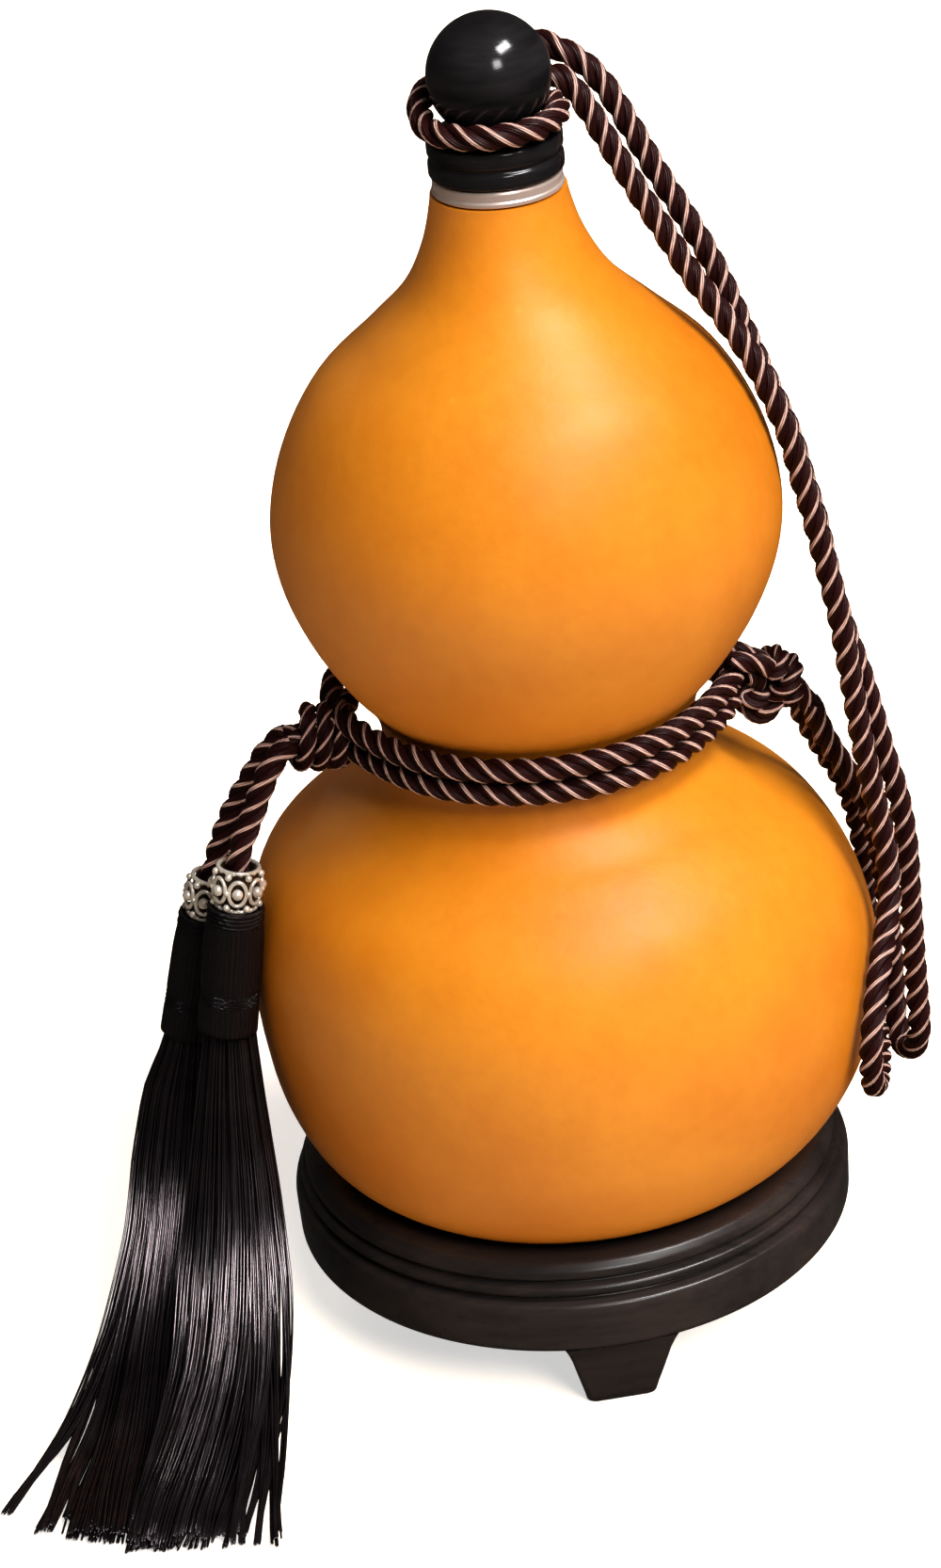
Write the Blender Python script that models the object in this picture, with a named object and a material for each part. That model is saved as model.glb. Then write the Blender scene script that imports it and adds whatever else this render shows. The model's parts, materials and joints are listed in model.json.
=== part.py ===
"""A dried bottle gourd made into a flask: the hollow gourd with its mouth ring and turned
stopper, a cord tied round its waist and up to the stopper, two tassels, and a wooden stand
with three feet. The sizes below are in millimetres, and the meshes are made in metres."""

import itertools
import math

import bmesh
import bpy
from mathutils import Matrix, Vector

MM = 0.001

# The gourd's own axis stands a little left of the middle of the lower bulb. Every place below
# is measured from that axis, from front to back and from the floor.
AXIS_X = -1.25

# Pieces that touch keep this gap.
GAP = 0.3

# The gourd's outside from its bottom to its lip: radius, height, and how far the middle has
# wandered sideways there, because the gourd grew a little crooked.
GOURD_OUTLINE = [
    (0.0, 19.5, -1.0),
    (19.0, 22.0, -1.0),
    (34.0, 27.5, -0.8),
    (45.0, 35.5, 0.0),
    (50.5, 45.0, 0.9),
    (53.0, 56.0, 1.4),
    (53.4, 66.0, 1.1),
    (51.8, 77.0, 0.0),
    (46.7, 88.0, -1.1),
    (38.0, 95.5, -1.1),
    (32.5, 99.0, -0.9),
    (28.4, 103.0, -0.6),
    (26.5, 107.5, -0.2),
    (26.3, 111.5, 0.1),
    (27.3, 115.4, 0.2),
    (29.2, 118.6, 0.3),
    (31.9, 122.0, 0.4),
    (37.3, 131.0, 0.7),
    (41.0, 141.0, 0.9),
    (41.7, 150.0, 1.0),
    (39.2, 161.0, 1.2),
    (33.2, 172.0, 1.4),
    (24.4, 180.5, 1.6),
    (16.9, 188.0, 1.5),
    (12.9, 195.5, 1.3),
    (11.1, 202.0, 1.2),
    (10.9, 203.4, 1.2),
]
GOURD_WALL = 3.0
GOURD_SIDES = 40

# The mouth: a metal ring on the gourd's lip, and the stopper that stands on the ring.
MOUTH_X = 1.2
RING_LOW = 203.7
RING_HIGH = 206.3
RING_RADIUS = 10.5
RING_BORE = 8.2
STOPPER_SIDES = 32
PLUG_LOW = 190.0
PLUG_RADIUS = 7.3
FLANGE_LOW = RING_HIGH + GAP
FLANGE_HIGH = 212.6
FLANGE_RADIUS = 10.8
STOPPER_NECK = 6.0
BALL_Z = 222.0
BALL_RADIUS = 9.85

# The stand: a turned plate with a dished top, and three feet glued under it.
STAND_X = -1.0
STAND_SIDES = 48
PLATE_LOW = 15.0
PLATE_OUTLINE = [
    (47.9, 15.0),
    (48.6, 15.8),
    (48.8, 22.9),
    (48.3, 24.0),
    (46.4, 24.5),
    (46.3, 25.1),
    (47.4, 25.6),
    (47.6, 26.3),
    (47.2, 27.0),
    (45.7, 27.3),
    (45.7, 27.8),
    (46.6, 28.3),
    (46.4, 29.5),
    (45.2, 30.7),
    (43.4, 31.2),
]
DISH_CLEARANCE = 0.5
DISH_EDGE = 41.5
FOOT_ANGLES = (6.0, 126.0, 246.0)
FOOT_TOP_WIDTH = 18.5
FOOT_LOW_WIDTH = 12.2
FOOT_INNER = 34.5
FOOT_OUTER = 47.4
FOOT_LOW_OUTER = 42.3

# The cord, twisted silk, and where it lies. Its routes are lists of places that it passes.
CORD = 4.2
WAIST_TURNS = {"waist_cord_lower": (29.9, 111.4), "waist_cord_upper": (30.5, 115.9)}
NECK_LOOP = [
    (-4.0, 12.6, 217.4),
    (-7.4, 10.0, 217.7),
    (-9.6, 5.4, 217.2),
    (-9.9, 0.6, 216.0),
    (-8.7, -4.3, 215.3),
    (-5.2, -8.4, 215.3),
    (1.0, -10.5, 215.3),
    (6.8, -8.8, 215.3),
    (10.5, -4.4, 215.3),
    (11.5, 0.4, 215.3),
    (10.4, 4.9, 215.3),
    (7.3, 8.5, 215.3),
    (3.0, 12.1, 215.9),
]
NECK_KNOT = ((-1.3, 16.5, 216.8), (4.6, 4.2, 4.6))
LEFT_KNOT = ((-34.5, -5.6, 113.0), (5.8, 6.4, 6.8))
RIGHT_KNOT = ((38.5, 1.0, 111.7), (6.2, 6.6, 5.8))
LEASHES = {
    "leash_cord_front": [
        (4.4, 17.8, 215.6),
        (7.6, 15.2, 216.4),
        (10.9, 10.6, 217.6),
        (12.9, 9.2, 217.1),
        (15.2, 8.5, 214.4),
        (19.1, 7.0, 207.0),
        (22.8, 5.5, 199.6),
        (26.9, 3.5, 192.2),
        (30.8, 1.0, 185.1),
        (35.4, -1.5, 178.2),
        (39.3, -4.2, 171.6),
        (43.9, -6.2, 159.5),
        (45.5, -6.6, 152.1),
        (47.1, -7.0, 145.0),
        (48.8, -7.5, 136.0),
        (50.3, -8.0, 127.8),
        (51.8, -8.5, 115.5),
        (53.3, -9.0, 101.9),
        (54.6, -9.0, 93.5),
        (55.9, -10.0, 85.3),
        (56.1, -12.0, 76.8),
        (54.5, -16.5, 71.0),
        (52.6, -22.0, 67.0),
        (51.0, -26.5, 62.0),
        (49.9, -28.8, 56.0),
        (50.2, -26.5, 48.5),
        (51.8, -19.0, 44.0),
        (53.4, -9.5, 43.0),
        (54.1, 1.0, 43.6),
        (53.8, 10.6, 47.0),
        (54.7, 14.6, 56.5),
        (55.0, 15.4, 67.0),
        (53.9, 14.4, 77.0),
        (51.5, 11.0, 86.5),
        (48.3, 8.4, 94.0),
        (45.2, 6.2, 101.5),
        (43.2, 4.6, 107.2),
    ],
    "leash_cord_back": [
        (2.6, 15.6, 221.3),
        (6.5, 15.2, 221.9),
        (10.0, 14.3, 221.8),
        (13.3, 12.8, 220.5),
        (15.7, 12.2, 219.0),
        (19.0, 11.2, 215.5),
        (23.0, 9.7, 208.1),
        (26.7, 8.2, 200.5),
        (30.8, 6.5, 192.9),
        (34.5, 5.0, 185.3),
        (37.5, 3.0, 177.4),
        (40.3, 0.6, 169.7),
        (44.6, -1.3, 157.5),
        (46.3, -1.8, 150.0),
        (47.9, -2.3, 142.9),
        (49.4, -2.8, 133.8),
        (50.9, -3.3, 125.6),
        (54.2, -4.5, 113.2),
        (57.1, -5.0, 99.4),
        (59.0, -5.0, 91.5),
        (60.1, -5.0, 82.1),
        (60.3, -5.0, 72.3),
        (60.5, -5.0, 63.0),
        (60.8, -4.8, 53.0),
        (61.0, -4.2, 44.5),
        (60.2, -0.6, 38.5),
        (58.8, 4.0, 36.8),
        (58.3, 7.4, 41.5),
        (58.3, 8.6, 51.0),
        (57.9, 8.6, 63.0),
        (56.8, 8.2, 74.5),
        (54.7, 6.4, 84.5),
        (51.2, 4.0, 92.5),
        (48.0, 2.0, 99.8),
        (45.6, 0.4, 107.4),
    ],
}

# Each tassel hangs on its own cord: the route down to the bead, the middle of the bead, the
# way the tassel hangs, then the route of its threads and their half width and half thickness.
BEAD_RADIUS = 4.1
BEAD_HEIGHT = 7.6
BEAD_LOBES = 8
BEAD_ENTRY = 2.0
SLEEVE_BORE = 2.55
SLEEVE_RADIUS = 4.9
SLEEVE_HEIGHT = 22.0
BEAD_TO_SLEEVE = 4.3
TASSELS = {
    "front": {
        "cord": [
            (-41.2, -8.8, 113.8),
            (-44.0, -10.6, 112.0),
            (-46.4, -11.8, 108.2),
            (-48.6, -12.4, 103.3),
        ],
        "bead": (-52.5, -14.2, 91.4),
        "hang": (-0.17, -0.085, -0.98),
        "threads": [
            ((-56.9, -16.3, 63.6), 4.6, 4.6),
            ((-57.9, -19.8, 53.0), 6.0, 5.4),
            ((-59.6, -26.0, 40.0), 7.6, 5.8),
            ((-61.8, -34.8, 27.0), 8.8, 5.6),
            ((-63.3, -46.2, 15.5), 9.6, 4.8),
            ((-65.0, -57.0, 7.2), 10.6, 3.6),
            ((-65.6, -66.5, 3.2), 11.2, 2.4),
            ((-65.8, -73.0, 1.4), 11.6, 1.1),
        ],
    },
    "side": {
        "cord": [
            (-41.7, -3.8, 113.4),
            (-44.8, -3.9, 111.2),
            (-48.9, -3.8, 105.5),
            (-53.0, -3.3, 98.6),
        ],
        "bead": (-58.0, -3.0, 84.0),
        "hang": (-0.245, -0.045, -0.968),
        "threads": [
            ((-64.7, -4.4, 56.6), 4.6, 4.6),
            ((-66.7, -7.8, 47.5), 6.0, 5.4),
            ((-70.0, -14.4, 37.0), 7.4, 5.6),
            ((-74.4, -23.6, 26.0), 8.8, 5.4),
            ((-80.0, -35.0, 15.8), 9.6, 4.8),
            ((-84.0, -47.6, 7.8), 10.6, 3.6),
            ((-87.6, -57.6, 3.4), 11.0, 2.4),
            ((-90.0, -64.6, 1.4), 11.2, 1.1),
        ],
    },
}
THREAD_RIDGES = 16
RIDGE_DEPTH = 0.07

# Colour, roughness and metallic value of each material.
FINISHES = {
    "gourd_rind": ((0.72, 0.33, 0.035), 0.28, 0.0),
    "ring_metal": ((0.72, 0.69, 0.64), 0.25, 1.0),
    "stopper_black": ((0.012, 0.011, 0.012), 0.18, 0.0),
    "stand_wood": ((0.016, 0.012, 0.010), 0.42, 0.0),
    "cord_silk": ((0.060, 0.016, 0.014), 0.45, 0.0),
    "bead_metal": ((0.60, 0.52, 0.43), 0.30, 1.0),
    "tassel_silk": ((0.012, 0.008, 0.010), 0.35, 0.0),
}


def place(point):
    """A place in metres from one in millimetres measured from the gourd's axis."""
    x, y, z = point
    return Vector((x + AXIS_X, y, z)) * MM


def smooth(points, steps):
    """Points on one smooth curve through the given ones, with so many steps between them."""
    given = [Vector(p) for p in points]
    given = [2 * given[0] - given[1], *given, 2 * given[-1] - given[-2]]
    curve = []
    for a, b, c, d in zip(given, given[1:], given[2:], given[3:]):
        t1 = math.sqrt((b - a).length)
        t2 = t1 + math.sqrt((c - b).length)
        t3 = t2 + math.sqrt((d - c).length)
        for k in range(steps):
            t = t1 + (t2 - t1) * k / steps
            ab = a.lerp(b, t / t1)
            bc = b.lerp(c, (t - t1) / (t2 - t1))
            cd = c.lerp(d, (t - t2) / (t3 - t2))
            abc = ab.lerp(bc, t / t2)
            bcd = bc.lerp(cd, (t - t1) / (t3 - t1))
            curve.append(abc.lerp(bcd, (t - t1) / (t2 - t1)))
    return [*curve, Vector(points[-1])]


def spread(points, step):
    """Points along a line of points, as near to step apart as divides its length evenly."""
    lengths = [0.0]
    for a, b in zip(points, points[1:]):
        lengths.append(lengths[-1] + (b - a).length)
    count = max(2, round(lengths[-1] / step))
    found = [points[0]]
    i = 0
    for k in range(1, count):
        at = lengths[-1] * k / count
        while lengths[i + 1] < at:
            i += 1
        share = (at - lengths[i]) / (lengths[i + 1] - lengths[i])
        found.append(points[i].lerp(points[i + 1], share))
    return [*found, points[-1]]


def material(name):
    found = bpy.data.materials.get(name)
    if found:
        return found
    color, roughness, metallic = FINISHES[name]
    found = bpy.data.materials.new(name)
    found.use_nodes = True
    shader = found.node_tree.nodes["Principled BSDF"]
    shader.inputs["Base Color"].default_value = (*color, 1.0)
    shader.inputs["Roughness"].default_value = roughness
    shader.inputs["Metallic"].default_value = metallic
    return found


def add_mesh(name, bm, finish, sharp_deg=40.0):
    """The object of a finished bmesh, shaded smooth with its sharp edges kept."""
    bmesh.ops.recalc_face_normals(bm, faces=bm.faces)
    if bm.calc_volume(signed=True) < 0:
        bmesh.ops.reverse_faces(bm, faces=bm.faces)
    mesh = bpy.data.meshes.new(name)
    bm.to_mesh(mesh)
    bm.free()
    mesh.shade_smooth()
    mesh.set_sharp_from_angle(angle=math.radians(sharp_deg))
    mesh.materials.append(material(finish))
    piece = bpy.data.objects.new(name, mesh)
    bpy.context.scene.collection.objects.link(piece)
    return piece


def bridge(bm, rings):
    """Faces between each ring of points and the next; a ring of one point is a pole."""
    for low, high in zip(rings, rings[1:]):
        sides = max(len(low), len(high))
        for i in range(sides):
            j = (i + 1) % sides
            corners = [low[i % len(low)], low[j % len(low)], high[j % len(high)], high[i % len(high)]]
            unique = list(dict.fromkeys(corners))
            bm.faces.new(unique)


def turned(name, rows, sides, finish, closed=False):
    """A turned piece from rows of radius, height and sideways shift, in millimetres."""
    bm = bmesh.new()
    rings = []
    for radius, height, shift in rows:
        if radius < 1e-6:
            rings.append([bm.verts.new(place((shift, 0.0, height)))])
            continue
        ring = []
        for i in range(sides):
            turn = 2 * math.pi * i / sides
            point = (shift + radius * math.cos(turn), radius * math.sin(turn), height)
            ring.append(bm.verts.new(place(point)))
        rings.append(ring)
    if closed:
        rings.append(rings[0])
    bridge(bm, rings)
    return add_mesh(name, bm, finish)


def offset_rows(rows, distance):
    """Rows moved sideways off their own line, inward for a negative distance."""
    moved = []
    for k, (radius, height, shift) in enumerate(rows):
        before = rows[max(k - 1, 0)]
        after = rows[min(k + 1, len(rows) - 1)]
        along = Vector((after[0] - before[0], after[1] - before[1])).normalized()
        r = radius + along.y * distance
        z = height - along.x * distance
        moved.append((max(r, 0.0) if radius > 0 else 0.0, z, shift))
    return moved


def gourd_rows(steps):
    return [tuple(p) for p in smooth(GOURD_OUTLINE, steps)]


def make_gourd():
    outside = gourd_rows(2)
    inside = offset_rows(GOURD_OUTLINE[::2], -GOURD_WALL)
    lip_x = GOURD_OUTLINE[-1][2]
    inside[-1] = (GOURD_OUTLINE[-1][0] - GOURD_WALL, GOURD_OUTLINE[-1][1], lip_x)
    inside[0] = (0.0, GOURD_OUTLINE[0][1] + GOURD_WALL, GOURD_OUTLINE[0][2])
    return turned("gourd", [*outside, *reversed(inside)], GOURD_SIDES, "gourd_rind")


def make_mouth_ring():
    edge = 0.35
    section = [
        (RING_BORE, RING_LOW),
        (RING_RADIUS - edge, RING_LOW),
        (RING_RADIUS, RING_LOW + edge),
        (RING_RADIUS, RING_HIGH - edge),
        (RING_RADIUS - edge, RING_HIGH),
        (RING_BORE, RING_HIGH),
    ]
    rows = [(r, z, MOUTH_X) for r, z in section]
    return turned("mouth_ring", rows, GOURD_SIDES, "ring_metal", closed=True)


def make_stopper():
    edge = 0.5
    groove = (FLANGE_LOW + FLANGE_HIGH) / 2
    section = [
        (0.0, PLUG_LOW),
        (PLUG_RADIUS - 1.2, PLUG_LOW),
        (PLUG_RADIUS, PLUG_LOW + 2.0),
        (PLUG_RADIUS, FLANGE_LOW),
        (FLANGE_RADIUS - edge, FLANGE_LOW),
        (FLANGE_RADIUS, FLANGE_LOW + edge),
        (FLANGE_RADIUS, groove - 0.5),
        (FLANGE_RADIUS - 0.4, groove),
        (FLANGE_RADIUS, groove + 0.5),
        (FLANGE_RADIUS, FLANGE_HIGH - edge),
        (FLANGE_RADIUS - edge, FLANGE_HIGH),
        (STOPPER_NECK, FLANGE_HIGH),
    ]
    start = -math.acos(STOPPER_NECK / BALL_RADIUS)
    steps = 11
    for k in range(steps + 1):
        rise = start + (math.pi / 2 - start) * k / steps
        radius = BALL_RADIUS * math.cos(rise) if k < steps else 0.0
        section.append((radius, BALL_Z + BALL_RADIUS * math.sin(rise)))
    rows = [(r, z, MOUTH_X) for r, z in section]
    return turned("stopper", rows, STOPPER_SIDES, "stopper_black")


def make_stand_plate():
    """The plate follows the gourd's bottom on top, so the gourd sits in it."""
    under = offset_rows(gourd_rows(2), DISH_CLEARANCE)
    dish = list(itertools.takewhile(lambda row: row[0] < DISH_EDGE, under))
    rows = [(0.0, PLATE_LOW, STAND_X)]
    rows += [(r, z, STAND_X) for r, z in PLATE_OUTLINE]
    rows += [(r, z, STAND_X) for r, z, _ in reversed(dish)]
    return turned("stand_plate", rows, STAND_SIDES, "stand_wood")


def make_foot(number, angle):
    """A block that narrows towards the floor, with its outer face leaning in a little."""
    top, low = PLATE_LOW - GAP, 0.0
    corners = []
    for height, width, outer in (
        (low, FOOT_LOW_WIDTH, FOOT_LOW_OUTER),
        (top, FOOT_TOP_WIDTH, FOOT_OUTER),
    ):
        for across, out in (
            (-width / 2, FOOT_INNER),
            (width / 2, FOOT_INNER),
            (width / 2, outer),
            (-width / 2, outer),
        ):
            corners.append(Vector((across, -out, height)))
    bm = bmesh.new()
    turn = Matrix.Rotation(math.radians(angle), 4, "Z")
    verts = []
    for corner in corners:
        spun = turn @ corner
        verts.append(bm.verts.new(place((spun.x + STAND_X, spun.y, spun.z))))
    bm.faces.new(verts[:4])
    bm.faces.new(verts[4:])
    for i in range(4):
        j = (i + 1) % 4
        bm.faces.new((verts[i], verts[j], verts[4 + j], verts[4 + i]))
    foot = add_mesh(f"stand_foot_{number}", bm, "stand_wood")
    soft = foot.modifiers.new("soft_edges", "BEVEL")
    soft.width = 1.0 * MM
    soft.segments = 2
    return foot


def add_cord(name, points, closed=False):
    """A cord as a round tube along points that are already in metres."""
    curve = bpy.data.curves.new(name, "CURVE")
    curve.dimensions = "3D"
    curve.bevel_depth = CORD / 2 * MM
    curve.bevel_resolution = 2
    curve.use_fill_caps = not closed
    curve.render_resolution_u = 0
    spline = curve.splines.new("POLY")
    spline.points.add(len(points) - 1)
    for slot, point in zip(spline.points, points):
        slot.co = (*point, 1.0)
    spline.use_cyclic_u = closed
    curve.materials.append(material("cord_silk"))
    piece = bpy.data.objects.new(name, curve)
    bpy.context.scene.collection.objects.link(piece)
    return piece


def cord_line(route, step=1.6 * CORD):
    """A cord's points in metres, from the places that it passes."""
    return spread(smooth([place(p) for p in route], 8), step * MM)


def make_waist_cord(name, radius, height):
    """One closed turn round the waist, with its corners over the gourd's own."""
    ring = []
    for i in range(GOURD_SIDES):
        turn = 2 * math.pi * i / GOURD_SIDES
        ring.append(place((radius * math.cos(turn), radius * math.sin(turn), height)))
    return add_cord(name, ring, closed=True)


def make_knot(name, centre, size):
    """A knot as a rounded lump with the slanting furrows of the cord's turns."""
    rings, sides = 10, 18
    bm = bmesh.new()
    rows = []
    for k in range(rings + 1):
        rise = math.pi * (k / rings - 0.5)
        around = 1 if k in (0, rings) else sides
        row = []
        for i in range(around):
            turn = 2 * math.pi * i / sides
            furrow = 1.0 - 0.09 * math.cos(rise) * (1 + math.cos(3 * turn + 3.2 * rise)) / 2
            unit = (math.cos(rise) * math.cos(turn), math.cos(rise) * math.sin(turn), math.sin(rise))
            point = [c + s * u * furrow for c, s, u in zip(centre, size, unit)]
            row.append(bm.verts.new(place(point)))
        rows.append(row)
    bridge(bm, rows)
    return add_mesh(name, bm, "cord_silk")


def seat_on_waist(knots):
    """Hollow the knots' inner sides, so that they sit against the waist's two turns."""
    reach = max(radius for radius, _ in WAIST_TURNS.values()) + CORD / 2 + GAP
    low, high = 95.0, 130.0
    rows = [(0.0, low, 0.0), (reach, low, 0.0), (reach, high, 0.0), (0.0, high, 0.0)]
    core = turned("waist_core", rows, 80, "cord_silk")
    core.hide_render = True
    core.display_type = "WIRE"
    for knot in knots:
        cut = knot.modifiers.new("seat", "BOOLEAN")
        cut.operation = "DIFFERENCE"
        cut.object = core


def hanging(piece, hang, centre):
    """Turn a piece made upright about the origin to hang along a direction at a place."""
    piece.rotation_mode = "QUATERNION"
    piece.rotation_quaternion = (-Vector(hang)).to_track_quat("Z", "Y")
    piece.location = place(centre)


def sleeve(name, finish, low, high, bore, outside, sides, lobes=0, depth=0.0):
    """An upright sleeve about its own axis; outside gives the radius up its height."""
    bm = bmesh.new()
    rings = []
    steps = 8
    heights = [low + (high - low) * k / steps for k in range(steps + 1)]
    rows = [(bore, low, 0.0), *((outside(k / steps), h, 1.0) for k, h in enumerate(heights))]
    rows.append((bore, high, 0.0))
    for radius, height, lobed in rows:
        ring = []
        for i in range(sides):
            turn = 2 * math.pi * i / sides
            r = radius - lobed * depth * (1 - math.cos(lobes * turn)) / 2
            ring.append(bm.verts.new(Vector((r * math.cos(turn), r * math.sin(turn), height)) * MM))
        rings.append(ring)
    rings.append(rings[0])
    bridge(bm, rings)
    return add_mesh(name, bm, finish)


def make_bead(name, centre, hang):
    """A barrel bead, lobed all round, with the cord's bore through it."""

    def barrel(share):
        return 3.2 + (BEAD_RADIUS - 3.2) * math.sin(math.pi * share) ** 0.6 if 0 < share < 1 else 3.2

    half = BEAD_HEIGHT / 2
    bead = sleeve(name, "bead_metal", -half, half, SLEEVE_BORE, barrel, 32, BEAD_LOBES, 0.45)
    hanging(bead, hang, centre)


def make_tassel_head(name, centre, hang):
    """The wound head of a tassel: a sleeve that the cord runs down into."""

    def barrel(share):
        return SLEEVE_RADIUS - 0.9 * (2 * share - 1) ** 6

    half = SLEEVE_HEIGHT / 2
    head = sleeve(name, "tassel_silk", -half, half, SLEEVE_BORE, barrel, 24)
    hanging(head, hang, centre)


def make_threads(name, stations):
    """A tassel's hanging threads as one ridged bundle, flat where its tips lie on the floor."""
    middles = smooth([middle for middle, _, _ in stations], 2)
    sizes = smooth([(wide, thick, 0.0) for _, wide, thick in stations], 2)
    sides = 2 * THREAD_RIDGES
    bm = bmesh.new()
    rings = [[bm.verts.new(place(middles[0]))]]
    for k, (middle, size) in enumerate(zip(middles, sizes)):
        along = middles[min(k + 1, len(middles) - 1)] - middles[max(k - 1, 0)]
        across = Vector((1.0, -0.25, 0.0))
        across = (across - across.project(along)).normalized()
        outward = across.cross(along).normalized()
        ring = []
        for i in range(sides):
            turn = 2 * math.pi * i / sides
            ridge = 1.0 - RIDGE_DEPTH * (i % 2)
            point = middle + across * math.cos(turn) * size.x * ridge
            point = point + outward * math.sin(turn) * size.y * ridge
            ring.append(bm.verts.new(place((point.x, point.y, max(point.z, 0.0)))))
        rings.append(ring)
    end = middles[-1]
    rings.append([bm.verts.new(place((end.x, end.y, max(end.z, 0.5))))])
    bridge(bm, rings)
    return add_mesh(name, bm, "tassel_silk")


def make_tassel(side, parts):
    hang = Vector(parts["hang"]).normalized()
    bead = Vector(parts["bead"])
    head = bead + hang * (BEAD_TO_SLEEVE + SLEEVE_HEIGHT / 2)
    foot = head + hang * (SLEEVE_HEIGHT / 2)
    entry = bead - hang * (BEAD_HEIGHT / 2 + BEAD_ENTRY)
    make_bead(f"bead_{side}", bead, hang)
    make_tassel_head(f"tassel_head_{side}", head, hang)
    make_threads(f"tassel_threads_{side}", parts["threads"])
    add_cord(f"tassel_cord_{side}", cord_line([*parts["cord"], entry, bead, head, foot]))


def clear_scene():
    for piece in list(bpy.data.objects):
        bpy.data.objects.remove(piece)


def main():
    clear_scene()
    make_gourd()
    make_mouth_ring()
    make_stopper()
    make_stand_plate()
    for number, angle in enumerate(FOOT_ANGLES, 1):
        make_foot(number, angle)
    for name, (radius, height) in WAIST_TURNS.items():
        make_waist_cord(name, radius, height)
    add_cord("neck_loop", cord_line(NECK_LOOP, 0.9 * CORD))
    make_knot("neck_knot", *NECK_KNOT)
    left = make_knot("waist_knot_left", *LEFT_KNOT)
    right = make_knot("waist_knot_right", *RIGHT_KNOT)
    seat_on_waist([left, right])
    for name, route in LEASHES.items():
        add_cord(name, cord_line(route))
    for side, parts in TASSELS.items():
        make_tassel(side, parts)


main()
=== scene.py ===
"""The looks of a dried bottle gourd flask: varnished rind, mouth ring, turned stopper, twisted
silk cords and their knots, filigree beads, silk tassels and a turned wooden stand. Sizes are in
millimetres. Only names that end in _M or _m, the settings' lengths and finished meshes are in
metres."""

import json
import math

import bpy
import numpy as np
from bpy.props import FloatProperty, FloatVectorProperty, IntProperty, PointerProperty
from mathutils import Matrix, Vector

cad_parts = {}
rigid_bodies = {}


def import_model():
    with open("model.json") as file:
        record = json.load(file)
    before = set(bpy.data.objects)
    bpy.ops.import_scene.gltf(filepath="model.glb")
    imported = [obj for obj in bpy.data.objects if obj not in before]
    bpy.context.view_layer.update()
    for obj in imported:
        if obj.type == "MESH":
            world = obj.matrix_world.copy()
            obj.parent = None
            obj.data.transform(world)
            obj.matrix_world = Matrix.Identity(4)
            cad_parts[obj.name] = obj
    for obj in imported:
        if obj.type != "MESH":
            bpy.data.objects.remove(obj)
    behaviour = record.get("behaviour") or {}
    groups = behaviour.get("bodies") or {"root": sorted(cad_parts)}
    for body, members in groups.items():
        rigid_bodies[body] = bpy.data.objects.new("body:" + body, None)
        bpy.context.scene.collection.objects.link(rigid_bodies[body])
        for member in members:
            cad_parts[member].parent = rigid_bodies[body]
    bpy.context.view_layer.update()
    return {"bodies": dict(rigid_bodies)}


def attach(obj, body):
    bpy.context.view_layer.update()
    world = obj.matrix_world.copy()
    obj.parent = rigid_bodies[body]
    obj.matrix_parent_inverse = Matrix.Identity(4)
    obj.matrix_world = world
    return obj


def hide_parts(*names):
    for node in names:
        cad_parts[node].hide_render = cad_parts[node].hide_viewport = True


bl_info = {
    "name": "Bottle Gourd Flask",
    "version": (1, 0, 0),
    "blender": (4, 5, 0),
    "location": "3D View > Sidebar > Gourd",
    "description": "Dresses the packed gourd flask in its rind, cords, beads, tassels and stand",
    "category": "Object",
}

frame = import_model()

MM = 0.001
BODY = next(iter(frame["bodies"]))

# The gourd's axis stands a little left of the frame's origin. Places below are measured from
# that axis, from front to back and from the floor.
AXIS_X = -1.25

# The camera stands where the photograph was taken from.
CAMERA_PLACE_M = (-0.01355, -0.6416, 0.4368)
CAMERA_RIGHT = (0.9952, -0.0455, -0.0863)
CAMERA_UP = (0.0976, 0.4642, 0.8804)
CAMERA_LENS_MM = 98.93
CAMERA_SENSOR_MM = 36.0

# The gourd's outside from its bottom to its lip: radius, height and sideways wander.
GOURD_OUTLINE = [
    (0.0, 19.5, -1.0),
    (19.0, 22.0, -1.0),
    (34.0, 27.5, -0.8),
    (45.0, 35.5, 0.0),
    (50.5, 45.0, 0.9),
    (53.0, 56.0, 1.4),
    (53.4, 66.0, 1.1),
    (51.8, 77.0, 0.0),
    (46.7, 88.0, -1.1),
    (38.0, 95.5, -1.1),
    (32.5, 99.0, -0.9),
    (28.4, 103.0, -0.6),
    (26.5, 107.5, -0.2),
    (26.3, 111.5, 0.1),
    (27.3, 115.4, 0.2),
    (29.2, 118.6, 0.3),
    (31.9, 122.0, 0.4),
    (37.3, 131.0, 0.7),
    (41.0, 141.0, 0.9),
    (41.7, 150.0, 1.0),
    (39.2, 161.0, 1.2),
    (33.2, 172.0, 1.4),
    (24.4, 180.5, 1.6),
    (16.9, 188.0, 1.5),
    (12.9, 195.5, 1.3),
    (11.1, 202.0, 1.2),
    (10.9, 203.4, 1.2),
]
GOURD_WALL = 3.0

# The rind is round on the stand below this height, near the lip above this one, and at the waist.
UNEVEN_FROM, UNEVEN_TO, WAIST_HEIGHT = 36.0, 198.0, 112.0

MOUTH_X = 1.2
RING_LOW, RING_HIGH = 203.7, 206.3
RING_BORE, RING_RADIUS = 8.2, 10.5
RING_SIDES = 128
PLUG_LOW, PLUG_RADIUS = 190.0, 7.3
FLANGE_LOW, FLANGE_HIGH = 206.6, 212.6
FLANGE_RADIUS, FLANGE_GROOVE = 10.8, 0.55
STOPPER_NECK = 6.0
BALL_Z, BALL_RADIUS = 222.0, 9.85

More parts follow.
